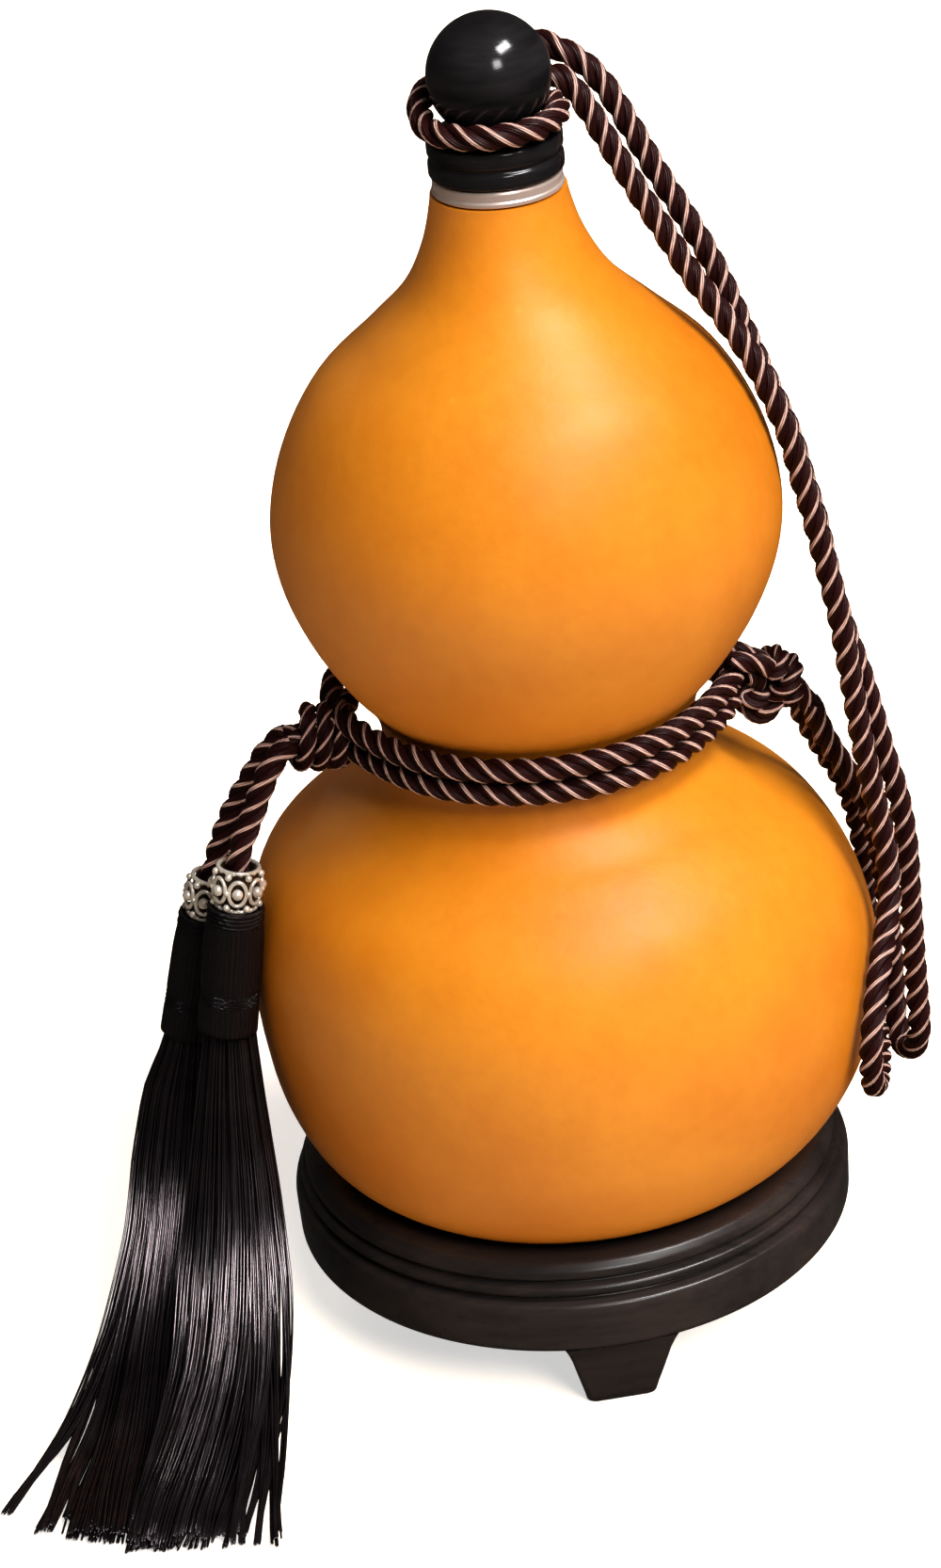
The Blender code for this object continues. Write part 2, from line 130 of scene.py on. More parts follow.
STAND_X = -1.0
PLATE_LOW = 15.0
DISH_CLEARANCE, DISH_EDGE = 0.5, 41.5
PLATE_OUTLINE = [
    (47.9, 15.0),
    (48.6, 15.8),
    (48.8, 22.9),
    (48.3, 24.0),
    (46.4, 24.5),
    (46.3, 25.1),
    (47.4, 25.6),
    (47.6, 26.3),
    (47.2, 27.0),
    (45.7, 27.3),
    (45.7, 27.8),
    (46.6, 28.3),
    (46.4, 29.5),
    (45.2, 30.7),
    (43.4, 31.2),
]
FOOT_ANGLES = (6.0, 126.0, 246.0)
FOOT_INNER = 34.5

# A foot from the floor up: height, width, reach from the stand's middle and corner radius.
FOOT_ROWS = [
    (0.0, 11.2, 41.9, 1.3),
    (0.5, 12.1, 42.4, 1.4),
    (2.5, 12.9, 43.1, 1.3),
    (7.5, 15.2, 44.8, 1.0),
    (11.5, 17.0, 46.1, 0.8),
    (13.6, 18.3, 46.9, 0.7),
    (14.98, 19.4, 47.4, 0.6),
]

# A strand's radius by the cord's diameter, and how far each strand's threads are shifted along
# from those of the one before.
STRANDS = 3
STRAND_SHARE = 0.265
STRAND_SHIFT = 4.1

# How thick the cord is in a knot, drawn tight, and how thick in its hitch and its wrapping.
TIGHT_SHARE = 0.86
HITCH_SHARE = 0.95
WRAP_SHARE = 0.82
WRAP_LAY_SHARE = 0.8

# Each waist turn's radius and height.
WAIST_TURNS = {"waist_cord_lower": (29.9, 111.4), "waist_cord_upper": (30.5, 115.9)}

# The loop round the stopper's neck, and its two ends inside the knot behind the ball.
NECK_LOOP_ENDS = ((-1.5, 15.6, 217.0), (-0.5, 14.4, 216.4))
NECK_LOOP = [
    (-4.0, 12.6, 217.4),
    (-7.4, 10.0, 217.7),
    (-9.6, 5.4, 217.2),
    (-9.9, 0.6, 216.0),
    (-8.7, -4.3, 215.3),
    (-5.2, -8.4, 215.3),
    (1.0, -10.5, 215.3),
    (6.8, -8.8, 215.3),
    (10.5, -4.4, 215.3),
    (11.5, 0.4, 215.3),
    (10.4, 4.9, 215.3),
    (7.3, 8.5, 215.3),
    (3.0, 12.1, 215.9),
]

# The turns of cord that each knot is drawn up from: short lengths that pass through it, the
# wrapping round them, and the plain knot inside.
KNOTS = {
    "neck_knot": {
        "lengths": [
            [(5.6, 17.0, 215.9), (2.2, 18.3, 215.9), (-2.6, 17.6, 217.2), (-5.0, 14.4, 217.8)],
            [(3.8, 15.5, 221.5), (0.6, 16.0, 220.6), (-2.4, 17.4, 217.0), (-1.6, 18.6, 214.2)],
        ],
        "wrap": {
            "centre": (-1.2, 16.9, 217.6),
            "along": (0.95, 0.1, 0.3),
            "wide": (3.0, 3.3),
            "turns": 2,
        },
        "hitch": {
            "centre": (-1.3, 16.5, 216.8),
            "size": (3.3, 3.0, 1.7),
            "facing": (0.2, 1.0, 0.2),
            "turn": 20,
        },
    },
    "waist_knot_left": {
        "lengths": [
            [(-42.2, -9.4, 113.4), (-39.6, -7.9, 114.2), (-36.2, -6.6, 114.4), (-32.6, -6.8, 113.4)],
            [(-42.6, -3.9, 112.8), (-40.2, -4.1, 113.5), (-36.6, -4.6, 112.8), (-32.8, -4.0, 111.8)],
        ],
        "wrap": {
            "centre": (-36.3, -5.7, 113.2),
            "along": (-0.98, -0.15, 0.12),
            "wide": (4.3, 4.5),
            "turns": 3,
        },
        "hitch": {
            "centre": (-34.2, -5.6, 112.8),
            "size": (3.6, 3.9, 1.8),
            "facing": (-1.0, -0.2, 0.2),
            "turn": 35,
        },
    },
    "waist_knot_right": {
        "lengths": [
            [
                (43.7, 5.0, 105.8),
                (42.6, 3.9, 108.8),
                (40.8, 2.2, 112.1),
                (38.0, 0.9, 115.6),
                (34.8, 0.1, 118.0),
                (32.2, -0.3, 119.2),
            ],
            [
                (46.0, 0.9, 105.9),
                (44.6, 0.3, 109.0),
                (42.4, -0.6, 112.3),
                (39.2, -2.2, 115.8),
                (35.4, -3.6, 118.0),
                (32.0, -4.6, 118.9),
            ],
            [
                (40.6, -0.4, 110.6),
                (38.9, -2.2, 108.3),
                (36.8, -1.8, 107.3),
                (34.4, 0.6, 108.6),
                (33.4, 2.4, 111.0),
            ],
        ],
        "wrap": {
            "centre": (40.6, 0.5, 113.0),
            "along": (-0.735, -0.26, 0.626),
            "wide": (4.4, 3.2),
            "turns": 2,
        },
        "hitch": {
            "centre": (36.6, 0.2, 112.4),
            "size": (3.2, 3.4, 1.7),
            "facing": (0.9, -0.5, 0.35),
            "turn": 80,
        },
    },
}

# The places that the two long strands pass, from the stopper down to a bend and back up to the
# right knot.
LEASHES = {
    "leash_cord_front": [
        (4.4, 17.8, 215.6),
        (7.6, 15.2, 216.4),
        (10.9, 10.6, 217.6),
        (12.9, 9.2, 217.1),
        (15.2, 8.5, 214.4),
        (19.1, 7.0, 207.0),
        (22.8, 5.5, 199.6),
        (26.9, 3.5, 192.2),
        (30.8, 1.0, 185.1),
        (35.4, -1.5, 178.2),
        (39.3, -4.2, 171.6),
        (43.9, -6.2, 159.5),
        (45.5, -6.6, 152.1),
        (47.1, -7.0, 145.0),
        (48.8, -7.5, 136.0),
        (50.3, -8.0, 127.8),
        (51.8, -8.5, 115.5),
        (53.3, -9.0, 101.9),
        (54.6, -9.0, 93.5),
        (55.9, -10.0, 85.3),
        (56.1, -12.0, 76.8),
        (54.5, -16.5, 71.0),
        (52.6, -22.0, 67.0),
        (51.0, -26.5, 62.0),
        (49.9, -28.8, 56.0),
        (50.2, -26.5, 48.5),
        (51.8, -19.0, 44.0),
        (53.4, -9.5, 43.0),
        (54.1, 1.0, 43.6),
        (53.8, 10.6, 47.0),
        (54.7, 14.6, 56.5),
        (55.0, 15.4, 67.0),
        (53.9, 14.4, 77.0),
        (51.5, 11.0, 86.5),
        (48.3, 8.4, 94.0),
        (45.2, 6.2, 101.5),
        (43.2, 4.6, 107.2),
    ],
    "leash_cord_back": [
        (2.6, 15.6, 221.3),
        (6.5, 15.2, 221.9),
        (10.0, 14.3, 221.8),
        (13.3, 12.8, 220.5),
        (15.7, 12.2, 219.0),
        (19.0, 11.2, 215.5),
        (23.0, 9.7, 208.1),
        (26.7, 8.2, 200.5),
        (30.8, 6.5, 192.9),
        (34.5, 5.0, 185.3),
        (37.5, 3.0, 177.4),
        (40.3, 0.6, 169.7),
        (44.6, -1.3, 157.5),
        (46.3, -1.8, 150.0),
        (47.9, -2.3, 142.9),
        (49.4, -2.8, 133.8),
        (50.9, -3.3, 125.6),
        (54.2, -4.5, 113.2),
        (57.1, -5.0, 99.4),
        (59.0, -5.0, 91.5),
        (60.1, -5.0, 82.1),
        (60.3, -5.0, 72.3),
        (60.5, -5.0, 63.0),
        (60.8, -4.8, 53.0),
        (61.0, -4.2, 44.5),
        (60.2, -0.6, 38.5),
        (58.8, 4.0, 36.8),
        (58.3, 7.4, 41.5),
        (58.3, 8.6, 51.0),
        (57.9, 8.6, 63.0),
        (56.8, 8.2, 74.5),
        (54.7, 6.4, 84.5),
        (51.2, 4.0, 92.5),
        (48.0, 2.0, 99.8),
        (45.6, 0.4, 107.4),
    ],
}

BEAD_RADIUS, BEAD_HEIGHT = 4.1, 7.6
BEAD_PETALS = 7
BEAD_RIM, RIM_GRAINS = 3.45, 18
BEAD_ENTRY = 2.0
CORE_RADIUS = 3.05
SLEEVE_BORE, SLEEVE_RADIUS, SLEEVE_HEIGHT = 2.55, 4.9, 22.0
BEAD_TO_SLEEVE = 4.3
HEAD_SIDES = 144

# The threads start inside the head, and the locks are set round it like seeds in a sunflower.
THREADS_INSIDE, THREADS_START = 3.0, 4.2
LOCK_REACH, LOCK_TURN = 0.86, 2.39996
LOCK_SPREAD = 0.2
THREAD_STEPS, THREAD_SIDES = 30, 4
THREADS_SEED = 4
WHOLE_TURN = 6.28

# Each tassel: its cord's places, its bead's middle, the way that it hangs, and the middle, half
# breadth and half depth of its threads at stations from the head to the tips. Towards its flare
# side the threads thin out, which is 1 for the right and -1 for the left.
TASSELS = {
    "front": {
        "cord": [
            (-41.2, -8.8, 113.8),
            (-44.0, -10.6, 112.0),
            (-46.4, -11.8, 108.2),
            (-48.6, -12.4, 103.3),
        ],
        "bead": (-52.5, -14.2, 91.4),
        "hang": (-0.17, -0.085, -0.98),
        "flare": 1,
        "threads": [
            ((-56.9, -16.3, 63.6), 4.6, 4.6),
            ((-57.9, -19.8, 53.0), 6.2, 5.4),
            ((-59.0, -26.0, 40.0), 8.4, 5.8),
            ((-60.2, -34.8, 27.0), 10.2, 5.6),
            ((-61.6, -46.8, 15.5), 11.4, 4.8),
            ((-64.4, -59.6, 7.4), 12.8, 3.6),
            ((-66.6, -68.0, 3.2), 13.6, 2.4),
            ((-67.4, -74.0, 1.4), 14.0, 1.1),
        ],
    },
    "side": {
        "cord": [
            (-41.7, -3.8, 113.4),
            (-44.8, -3.9, 111.2),
            (-48.9, -3.8, 105.5),
            (-53.0, -3.3, 98.6),
        ],
        "bead": (-58.0, -3.0, 84.0),
        "hang": (-0.245, -0.045, -0.968),
        "flare": -1,
        "threads": [
            ((-64.7, -4.4, 56.6), 4.6, 4.6),
            ((-67.0, -6.4, 47.5), 7.2, 5.4),
            ((-69.2, -11.0, 37.0), 8.2, 5.6),
            ((-71.8, -18.8, 26.0), 8.0, 5.4),
            ((-76.2, -30.6, 14.6), 8.6, 4.8),
            ((-81.4, -45.4, 6.4), 10.4, 3.4),
            ((-86.6, -58.6, 2.9), 12.2, 2.2),
            ((-89.8, -67.8, 1.4), 13.2, 1.1),
        ],
    },
}

# Where each lamp stands and what it looks at, in metres, with each softbox's breadth and height.
LIT_MIDDLE_M = (0.0, 0.0, 0.13)
BROAD_LIGHT_M = (0.36, -0.46, 0.80)
BACK_LIGHT_M = (-0.30, 0.90, 0.45)
SOFTBOX_HIGH_M, SOFTBOX_HIGH_SIZE = (0.42, -0.28, 0.97), (0.40, 0.19)
SOFTBOX_FRONT_M, SOFTBOX_FRONT_SIZE = (0.36, -1.03, 0.93), (0.30, 0.30)
SOFTBOX_STRIP_M, SOFTBOX_STRIP_SIZE = (0.30, -1.02, 1.0), (1.30, 0.14)
FLOOR_REACH_M = 6.0


# Places and lines


def place(points):
    """Places in metres from ones in millimetres measured from the gourd's axis."""
    return (np.asarray(points, float) + np.array([AXIS_X, 0.0, 0.0])) * MM


def smooth(points, steps):
    """Points on one smooth curve through the given ones, with so many steps between them."""
    given = np.asarray(points, float)
    given = np.vstack([2 * given[0] - given[1], given, 2 * given[-1] - given[-2]])
    curve = []
    for a, b, c, d in zip(given, given[1:], given[2:], given[3:]):
        t1 = math.sqrt(np.linalg.norm(b - a))
        t2 = t1 + math.sqrt(np.linalg.norm(c - b))
        t3 = t2 + math.sqrt(np.linalg.norm(d - c))
        t = (t1 + (t2 - t1) * np.arange(steps) / steps)[:, None]
        ab = a + (b - a) * t / t1
        bc = b + (c - b) * (t - t1) / (t2 - t1)
        cd = c + (d - c) * (t - t2) / (t3 - t2)
        abc = ab + (bc - ab) * t / t2
        bcd = bc + (cd - bc) * (t - t1) / (t3 - t1)
        curve.append(abc + (bcd - abc) * (t - t1) / (t2 - t1))
    return np.vstack([*curve, given[-2:-1]])


def spread(line, step):
    """Points along a line, evenly spaced as near to step apart as divides its length."""
    lengths = np.r_[0.0, np.cumsum(np.linalg.norm(np.diff(line, axis=0), axis=1))]
    count = max(2, round(lengths[-1] / step))
    at = np.linspace(0.0, lengths[-1], count + 1)
    return np.stack([np.interp(at, lengths, line[:, k]) for k in range(3)], axis=1)


def length_of(line):
    """A line's length, in its own units."""
    return float(np.linalg.norm(np.diff(line, axis=0), axis=1).sum())


def unit(vectors):
    """The same directions, each one long."""
    return vectors / np.maximum(np.linalg.norm(vectors, axis=-1, keepdims=True), 1e-12)


def directions(line, looped=False):
    """Along, across and outward at each point of a line, with no twist that it doesn't need."""
    if looped:
        along = unit(np.roll(line, -1, axis=0) - np.roll(line, 1, axis=0))
    else:
        along = unit(np.gradient(line, axis=0))
    seed = np.array([0.0, 0.0, 1.0]) if abs(along[0][2]) < 0.9 else np.array([1.0, 0.0, 0.0])
    across = np.empty_like(line)
    across[0] = unit(np.cross(along[0], seed))
    for k in range(1, len(line)):
        carried = across[k - 1] - along[k] * np.dot(across[k - 1], along[k])
        across[k] = unit(carried)
    outward = np.cross(along, across)
    if looped:
        back = across[-1] - along[0] * np.dot(across[-1], along[0])
        slip = math.atan2(np.dot(back, outward[0]), np.dot(back, across[0]))
        turn = (-slip * np.arange(len(line)) / len(line))[:, None]
        across, outward = (
            across * np.cos(turn) + outward * np.sin(turn),
            outward * np.cos(turn) - across * np.sin(turn),
        )
    return along, across, outward


# Meshes


class Shape:
    """Points, faces and fibre directions gathered for one mesh. A fibre is the cosine and sine
    of the way round a strand, and the way along it."""

    def __init__(self):
        self.points, self.fibres, self.faces, self.size = [], [], [], 0

    def add(self, points, faces, fibres=None):
        """Take in more points and the faces between them."""
        points = np.asarray(points, float).reshape(-1, 3)
        if fibres is None:
            fibres = np.zeros_like(points)
        self.points.append(points)
        self.fibres.append(np.asarray(fibres, float).reshape(-1, 3))
        self.faces += [tuple(int(i) + self.size for i in face) for face in faces]
        self.size += len(points)

    def add_rings(self, rings, fibres=None, looped=False, start=None, end=None):
        """A skin over rings of points that run anticlockwise about the way they go. An open
        skin is closed with a point at each end, at the ring's middle unless one is given."""
        count, sides = rings.shape[:2]
        index = np.arange(count * sides).reshape(count, sides)
        rows = np.vstack([index, index[:1]]) if looped else index
        near, far = rows[:-1], rows[1:]
        turned = np.stack([near, np.roll(near, -1, 1), np.roll(far, -1, 1), far], axis=-1)
        faces = [tuple(face) for face in turned.reshape(-1, 4)]
        points = rings.reshape(-1, 3)
        around = np.zeros_like(points) if fibres is None else fibres.reshape(-1, 3)
        if not looped:
            start = rings[0].mean(0) if start is None else start
            end = rings[-1].mean(0) if end is None else end
            points = np.vstack([points, start, end])
            around = np.vstack([around, around[0], around[-1]])
            first, last = count * sides, count * sides + 1
            for j in range(sides):
                k = (j + 1) % sides
                faces.append((first, int(index[0, k]), int(index[0, j])))
                faces.append((last, int(index[-1, j]), int(index[-1, k])))
        self.add(points, faces, around)

    def add_tube(self, line, radius, sides, looped=False):
        """A round tube along a line, of one radius or one for each point."""
        _, across, outward = directions(line, looped)
        radius = np.broadcast_to(np.asarray(radius, float), (len(line),))[:, None, None]
        turn = 2 * math.pi * np.arange(sides) / sides
        ring = across[:, None] * np.cos(turn)[:, None] + outward[:, None] * np.sin(turn)[:, None]
        way = np.arange(len(line)) * length_of(line) / max(len(line) - 1, 1) / MM
        fibres = np.empty((len(line), sides, 3))
        fibres[..., 0], fibres[..., 1] = np.cos(turn), np.sin(turn)
        fibres[..., 2] = way[:, None]
        self.add_rings(line[:, None] + ring * radius, fibres, looped)

    def add_ball(self, centre, radius):
        """A small round grain."""
        rows, sides = 6, 10
        rise = np.linspace(-math.pi / 2, math.pi / 2, rows + 2)[1:-1][:, None]
        turn = (2 * math.pi * np.arange(sides) / sides)[None]
        ball = np.stack(
            [np.cos(rise) * np.cos(turn), np.cos(rise) * np.sin(turn), np.sin(rise) + 0 * turn],
            axis=-1,
        )
        centre = np.asarray(centre, float)
        pole = np.array([0.0, 0.0, radius])
        self.add_rings(centre + ball * radius, start=centre - pole, end=centre + pole)

    def moved(self, matrix):
        """The same shape turned and moved by a matrix."""
        turn, shift = np.array(matrix.to_3x3()), np.array(matrix.translation)
        self.points = [points @ turn.T + shift for points in self.points]
        return self

    def piece(self, name, surface, slot, *nodes, sharp_deg=180.0):
        """The finished object, which rides on the body and stands for the nodes."""
        mesh = bpy.data.meshes.new(name)
        mesh.from_pydata(np.vstack(self.points), [], self.faces)
        fibre = mesh.attributes.new("fibre", "FLOAT_VECTOR", "POINT")
        fibre.data.foreach_set("vector", np.vstack(self.fibres).ravel())
        mesh.shade_smooth()
        if sharp_deg < 180.0:
            mesh.set_sharp_from_angle(angle=math.radians(sharp_deg))
        mesh.materials.append(surface)
        found = bpy.data.objects.new(name, mesh)
        bpy.context.scene.collection.objects.link(found)
        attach(found, BODY)
        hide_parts(*nodes)
        return found


def turned_rings(rows, sides):
    """Rings about the upright axis from rows of radius, height and sideways shift."""
    rows = np.asarray(rows, float)
    turn = 2 * math.pi * np.arange(sides) / sides
    x = rows[:, 2:3] + rows[:, :1] * np.cos(turn)
    y = rows[:, :1] * np.sin(turn)
    z = np.repeat(rows[:, 1:2], sides, axis=1)
    return np.stack([x, y, z], axis=-1)


def eased(rows, reach, steps=4):
    """A profile with each corner rounded, within reach of it."""
    rows = [np.asarray(row, float) for row in rows]
    found = [rows[0]]
    for before, corner, after in zip(rows, rows[1:], rows[2:]):
        back, on = before - corner, after - corner
        start = corner + back * min(reach / max(np.linalg.norm(back), 1e-9), 0.45)
        end = corner + on * min(reach / max(np.linalg.norm(on), 1e-9), 0.45)
        for k in range(steps + 1):
            t = k / steps
            found.append(start * (1 - t) ** 2 + corner * 2 * t * (1 - t) + end * t * t)
    return [*found, rows[-1]]


def offset_rows(rows, distance):
    """Rows moved off their own line, inward for a negative distance."""
    rows = np.asarray(rows, float)
    along = unit(np.gradient(rows[:, :2], axis=0))
    moved = rows.copy()
    moved[:, 0] = np.maximum(rows[:, 0] + along[:, 1] * distance, 0.0)
    moved[:, 1] = rows[:, 1] - along[:, 0] * distance
    return moved


def hanging(direction, centre):
    """The matrix that hangs a piece made upright about the origin, in metres."""
    turn = (-Vector(direction)).to_track_quat("Z", "Y").to_matrix().to_4x4()
    return Matrix.Translation(Vector(place(centre))) @ turn


def add_rope(shape, line, diameter, lay, looped=False, sides=12):
    """Three strands laid up right-handed along a line, in metres."""
    along, across, outward = directions(line, looped)
    total = length_of(np.vstack([line, line[:1]]) if looped else line)
    turns = total / lay
    if looped:
        turns = max(1, round(turns))
    share = np.arange(len(line)) / (len(line) if looped else len(line) - 1)
    strand = STRAND_SHARE * diameter
    reach = diameter / 2 - strand
    around = 2 * math.pi * np.arange(sides) / sides
    for k in range(STRANDS):
        turn = (2 * math.pi * (turns * share + k / STRANDS))[:, None]
        away = across * np.cos(turn) + outward * np.sin(turn)
        sweep = outward * np.cos(turn) - across * np.sin(turn)
        ahead = unit(along + sweep * (reach * 2 * math.pi * turns / total))
        beside = np.cross(ahead, away)
        centres = line + away * reach
        cos, sin = np.cos(around)[:, None], np.sin(around)[:, None]
        rings = centres[:, None] + (away[:, None] * cos + beside[:, None] * sin) * strand
        fibres = np.empty((len(line), sides, 3))
        fibres[..., 0], fibres[..., 1] = np.cos(around), np.sin(around)
        fibres[..., 2] = (share * total / MM)[:, None] + STRAND_SHIFT * k
        shape.add_rings(rings, fibres, looped)


# Materials


def new_material(name):
    """A new material with its node tree and its shader."""
    found = bpy.data.materials.new(name)
    found.use_nodes = True
    tree = found.node_tree
    return found, tree, tree.nodes["Principled BSDF"]


def node(tree, kind, **values):
    """A node with its settings and, by socket name, its inputs."""
    made = tree.nodes.new(kind)
    for key, value in values.items():
        if key in made.inputs:
            made.inputs[key].default_value = value
        else:
            setattr(made, key, value)
    return made


def math_node(tree, operation, first, second=None, third=None):
    """A Math node, with each input a number or a socket."""
    made = tree.nodes.new("ShaderNodeMath")
    made.operation = operation
    for slot, value in zip(made.inputs, (first, second, third)):
        if value is None:
            continue
        if isinstance(value, (int, float)):
            slot.default_value = value
        else:
            tree.links.new(value, slot)
    return made.outputs[0]


def ramp(tree, factor, stops):
    """A colour ramp from a list of position and colour."""
    made = tree.nodes.new("ShaderNodeValToRGB")
    elements = made.color_ramp.elements
    while len(elements) < len(stops):
        elements.new(0.5)
    for element, (position, color) in zip(elements, stops):
        element.position = position
        element.color = (*color, 1.0)
    tree.links.new(factor, made.inputs[0])
    return made.outputs[0]


def blend_colors(tree, factor, first, second, kind="MIX"):
    """A Mix node of two colours, each a colour or a socket."""
    made = tree.nodes.new("ShaderNodeMix")
    made.data_type = "RGBA"
    made.blend_type = kind
    if isinstance(factor, (int, float)):
        made.inputs["Factor"].default_value = factor
    else:
        tree.links.new(factor, made.inputs["Factor"])
    for slot, value in ((made.inputs[6], first), (made.inputs[7], second)):
        if isinstance(value, bpy.types.NodeSocket):
            tree.links.new(value, slot)
        else:
            slot.default_value = (*value, 1.0)
    return made.outputs[2]


def bump(tree, height, strength, distance_m, shader):
    """Relief on a shader from a height."""
    made = node(tree, "ShaderNodeBump", Strength=strength, Distance=distance_m)
    tree.links.new(height, made.inputs["Height"])
    tree.links.new(made.outputs["Normal"], shader.inputs["Normal"])


def vary_roughness(tree, shader, mottle, least, rise):
    """Roughness that rises from least with the mottle's fine grain."""
    rough = math_node(tree, "MULTIPLY_ADD", mottle.outputs["Fine"], rise, least)
    tree.links.new(rough, shader.inputs["Roughness"])


def scaled(color, times, plus=0.0):
    """A colour made lighter or darker."""
    return tuple(c * times + plus for c in color)


def new_group(name, inputs, outputs):
    """An empty node group with named number, vector or colour sockets."""
    group = bpy.data.node_groups.new(name, "ShaderNodeTree")
    kinds = {"number": "NodeSocketFloat", "vector": "NodeSocketVector", "color": "NodeSocketColor"}
    for label, kind, default in inputs:
        made = group.interface.new_socket(label, in_out="INPUT", socket_type=kinds[kind])
        if default is not None:
            made.default_value = default
    for label, kind in outputs:
        group.interface.new_socket(label, in_out="OUTPUT", socket_type=kinds[kind])
    return group, group.nodes.new("NodeGroupInput"), group.nodes.new("NodeGroupOutput")


def spun_threads_group():
    """Fine threads wound round a strand, from its fibre directions: their height, and their shade, a
    painted shade that is darker in the grooves between them, with a fine grain.
    """
    found = bpy.data.node_groups.get("spun_threads")
    if found:
        return found
    inputs = [("Fibre", "vector", None), ("Count", "number", 9.0), ("Twist", "number", 0.9)]
    group, enter, leave = new_group("spun_threads", inputs, [("Height", "number"), ("Shade", "number")])
    parts = group.nodes.new("ShaderNodeSeparateXYZ")
    group.links.new(enter.outputs["Fibre"], parts.inputs[0])
    turn = math_node(group, "ARCTAN2", parts.outputs[1], parts.outputs[0])
    wound = math_node(group, "MULTIPLY", parts.outputs[2], enter.outputs["Twist"])
    phase = math_node(group, "MULTIPLY_ADD", turn, enter.outputs["Count"], wound)
    wave = math_node(group, "SINE", phase)
    height = math_node(group, "ABSOLUTE", wave)
    spot = group.nodes.new("ShaderNodeTexCoord")
    noise = node(group, "ShaderNodeTexNoise", Scale=900.0, Detail=2.0, Roughness=0.6)
    group.links.new(spot.outputs["Object"], noise.inputs["Vector"])
    grain = math_node(group, "MULTIPLY", noise.outputs[0], 0.4)
    shade = math_node(group, "MULTIPLY_ADD", height, 0.6, grain)
    group.links.new(height, leave.inputs["Height"])
    group.links.new(shade, leave.inputs["Shade"])
    return group


def mottle_group():
    """Broad, soft unevenness over a surface, and a fine grain on top of it."""
    found = bpy.data.node_groups.get("mottle")
    if found:
        return found
    inputs = [
        ("Broad Scale", "number", 30.0),
        ("Fine Scale", "number", 600.0),
        ("Stretch", "vector", (1, 1, 1)),
    ]
    group, enter, leave = new_group("mottle", inputs, [("Broad", "number"), ("Fine", "number")])
    spot = group.nodes.new("ShaderNodeTexCoord")
    stretched = node(group, "ShaderNodeVectorMath", operation="MULTIPLY")
    group.links.new(spot.outputs["Object"], stretched.inputs[0])
    group.links.new(enter.outputs["Stretch"], stretched.inputs[1])
    for label, scale, detail in (("Broad", "Broad Scale", 3.0), ("Fine", "Fine Scale", 5.0)):
        noise = node(group, "ShaderNodeTexNoise", Detail=detail, Roughness=0.55)
        group.links.new(stretched.outputs[0], noise.inputs["Vector"])
        group.links.new(enter.outputs[scale], noise.inputs["Scale"])
        group.links.new(noise.outputs[0], leave.inputs[label])
    return group


def add_group(tree, group, **values):
    """A group placed in a material, with its own values by socket name."""
    made = tree.nodes.new("ShaderNodeGroup")
    made.node_tree = group
    for key, value in values.items():
        made.inputs[key.replace("_", " ")].default_value = value
    return made


def fibre_of(tree):
    """The fibre directions that the strands' meshes carry."""
    return node(tree, "ShaderNodeAttribute", attribute_name="fibre").outputs["Vector"]


def rind_material(settings):
    """Varnished dried rind: amber, deeper in broad clouds, with fine pores and small specks."""
    found, tree, shader = new_material("varnished_rind")
    mottle = add_group(tree, mottle_group(), Broad_Scale=26.0, Fine_Scale=420.0)
    light, deep = tuple(settings.rind_light), tuple(settings.rind_deep)
    base = ramp(tree, mottle.outputs["Broad"], [(0.33, deep), (0.62, light)])
    fine = ramp(tree, mottle.outputs["Fine"], [(0.25, (0.9, 0.86, 0.8)), (0.6, (1.0, 1.0, 1.0))])
    base = blend_colors(tree, 0.5, base, fine, "MULTIPLY")
    specks = node(tree, "ShaderNodeTexVoronoi", Scale=120.0)
    spot = node(tree, "ShaderNodeTexCoord")
    tree.links.new(spot.outputs["Object"], specks.inputs["Vector"])
    dot = ramp(tree, specks.outputs["Distance"], [(0.04, (1, 1, 1)), (0.09, (0, 0, 0))])
    patchy = ramp(tree, mottle.outputs["Broad"], [(0.55, (0, 0, 0)), (0.7, (0.5, 0.5, 0.5))])
    mask = blend_colors(tree, 1.0, dot, patchy, "MULTIPLY")
    base = blend_colors(tree, mask, base, (0.42, 0.17, 0.02))
    tree.links.new(base, shader.inputs["Base Color"])
    vary_roughness(tree, shader, mottle, settings.varnish_roughness, 0.12)
    shader.inputs["Specular IOR Level"].default_value = 0.33
    height = math_node(tree, "MULTIPLY_ADD", mottle.outputs["Broad"], 2.0, mottle.outputs["Fine"])
    bump(tree, height, 0.12, 0.0006, shader)
    return found


def metal_material(name, color, roughness, scale, tarnish, metallic=1.0):
    """Bright plated metal with a little tarnish in its hollows."""
    found, tree, shader = new_material(name)
    mottle = add_group(tree, mottle_group(), Broad_Scale=scale, Fine_Scale=scale * 8)
    dull = scaled(color, tarnish)
    base = ramp(tree, mottle.outputs["Broad"], [(0.3, dull), (0.65, tuple(color))])
    tree.links.new(base, shader.inputs["Base Color"])
    vary_roughness(tree, shader, mottle, roughness, 0.2)
    shader.inputs["Metallic"].default_value = metallic
    bump(tree, mottle.outputs["Fine"], 0.08, 0.0002, shader)
    return found


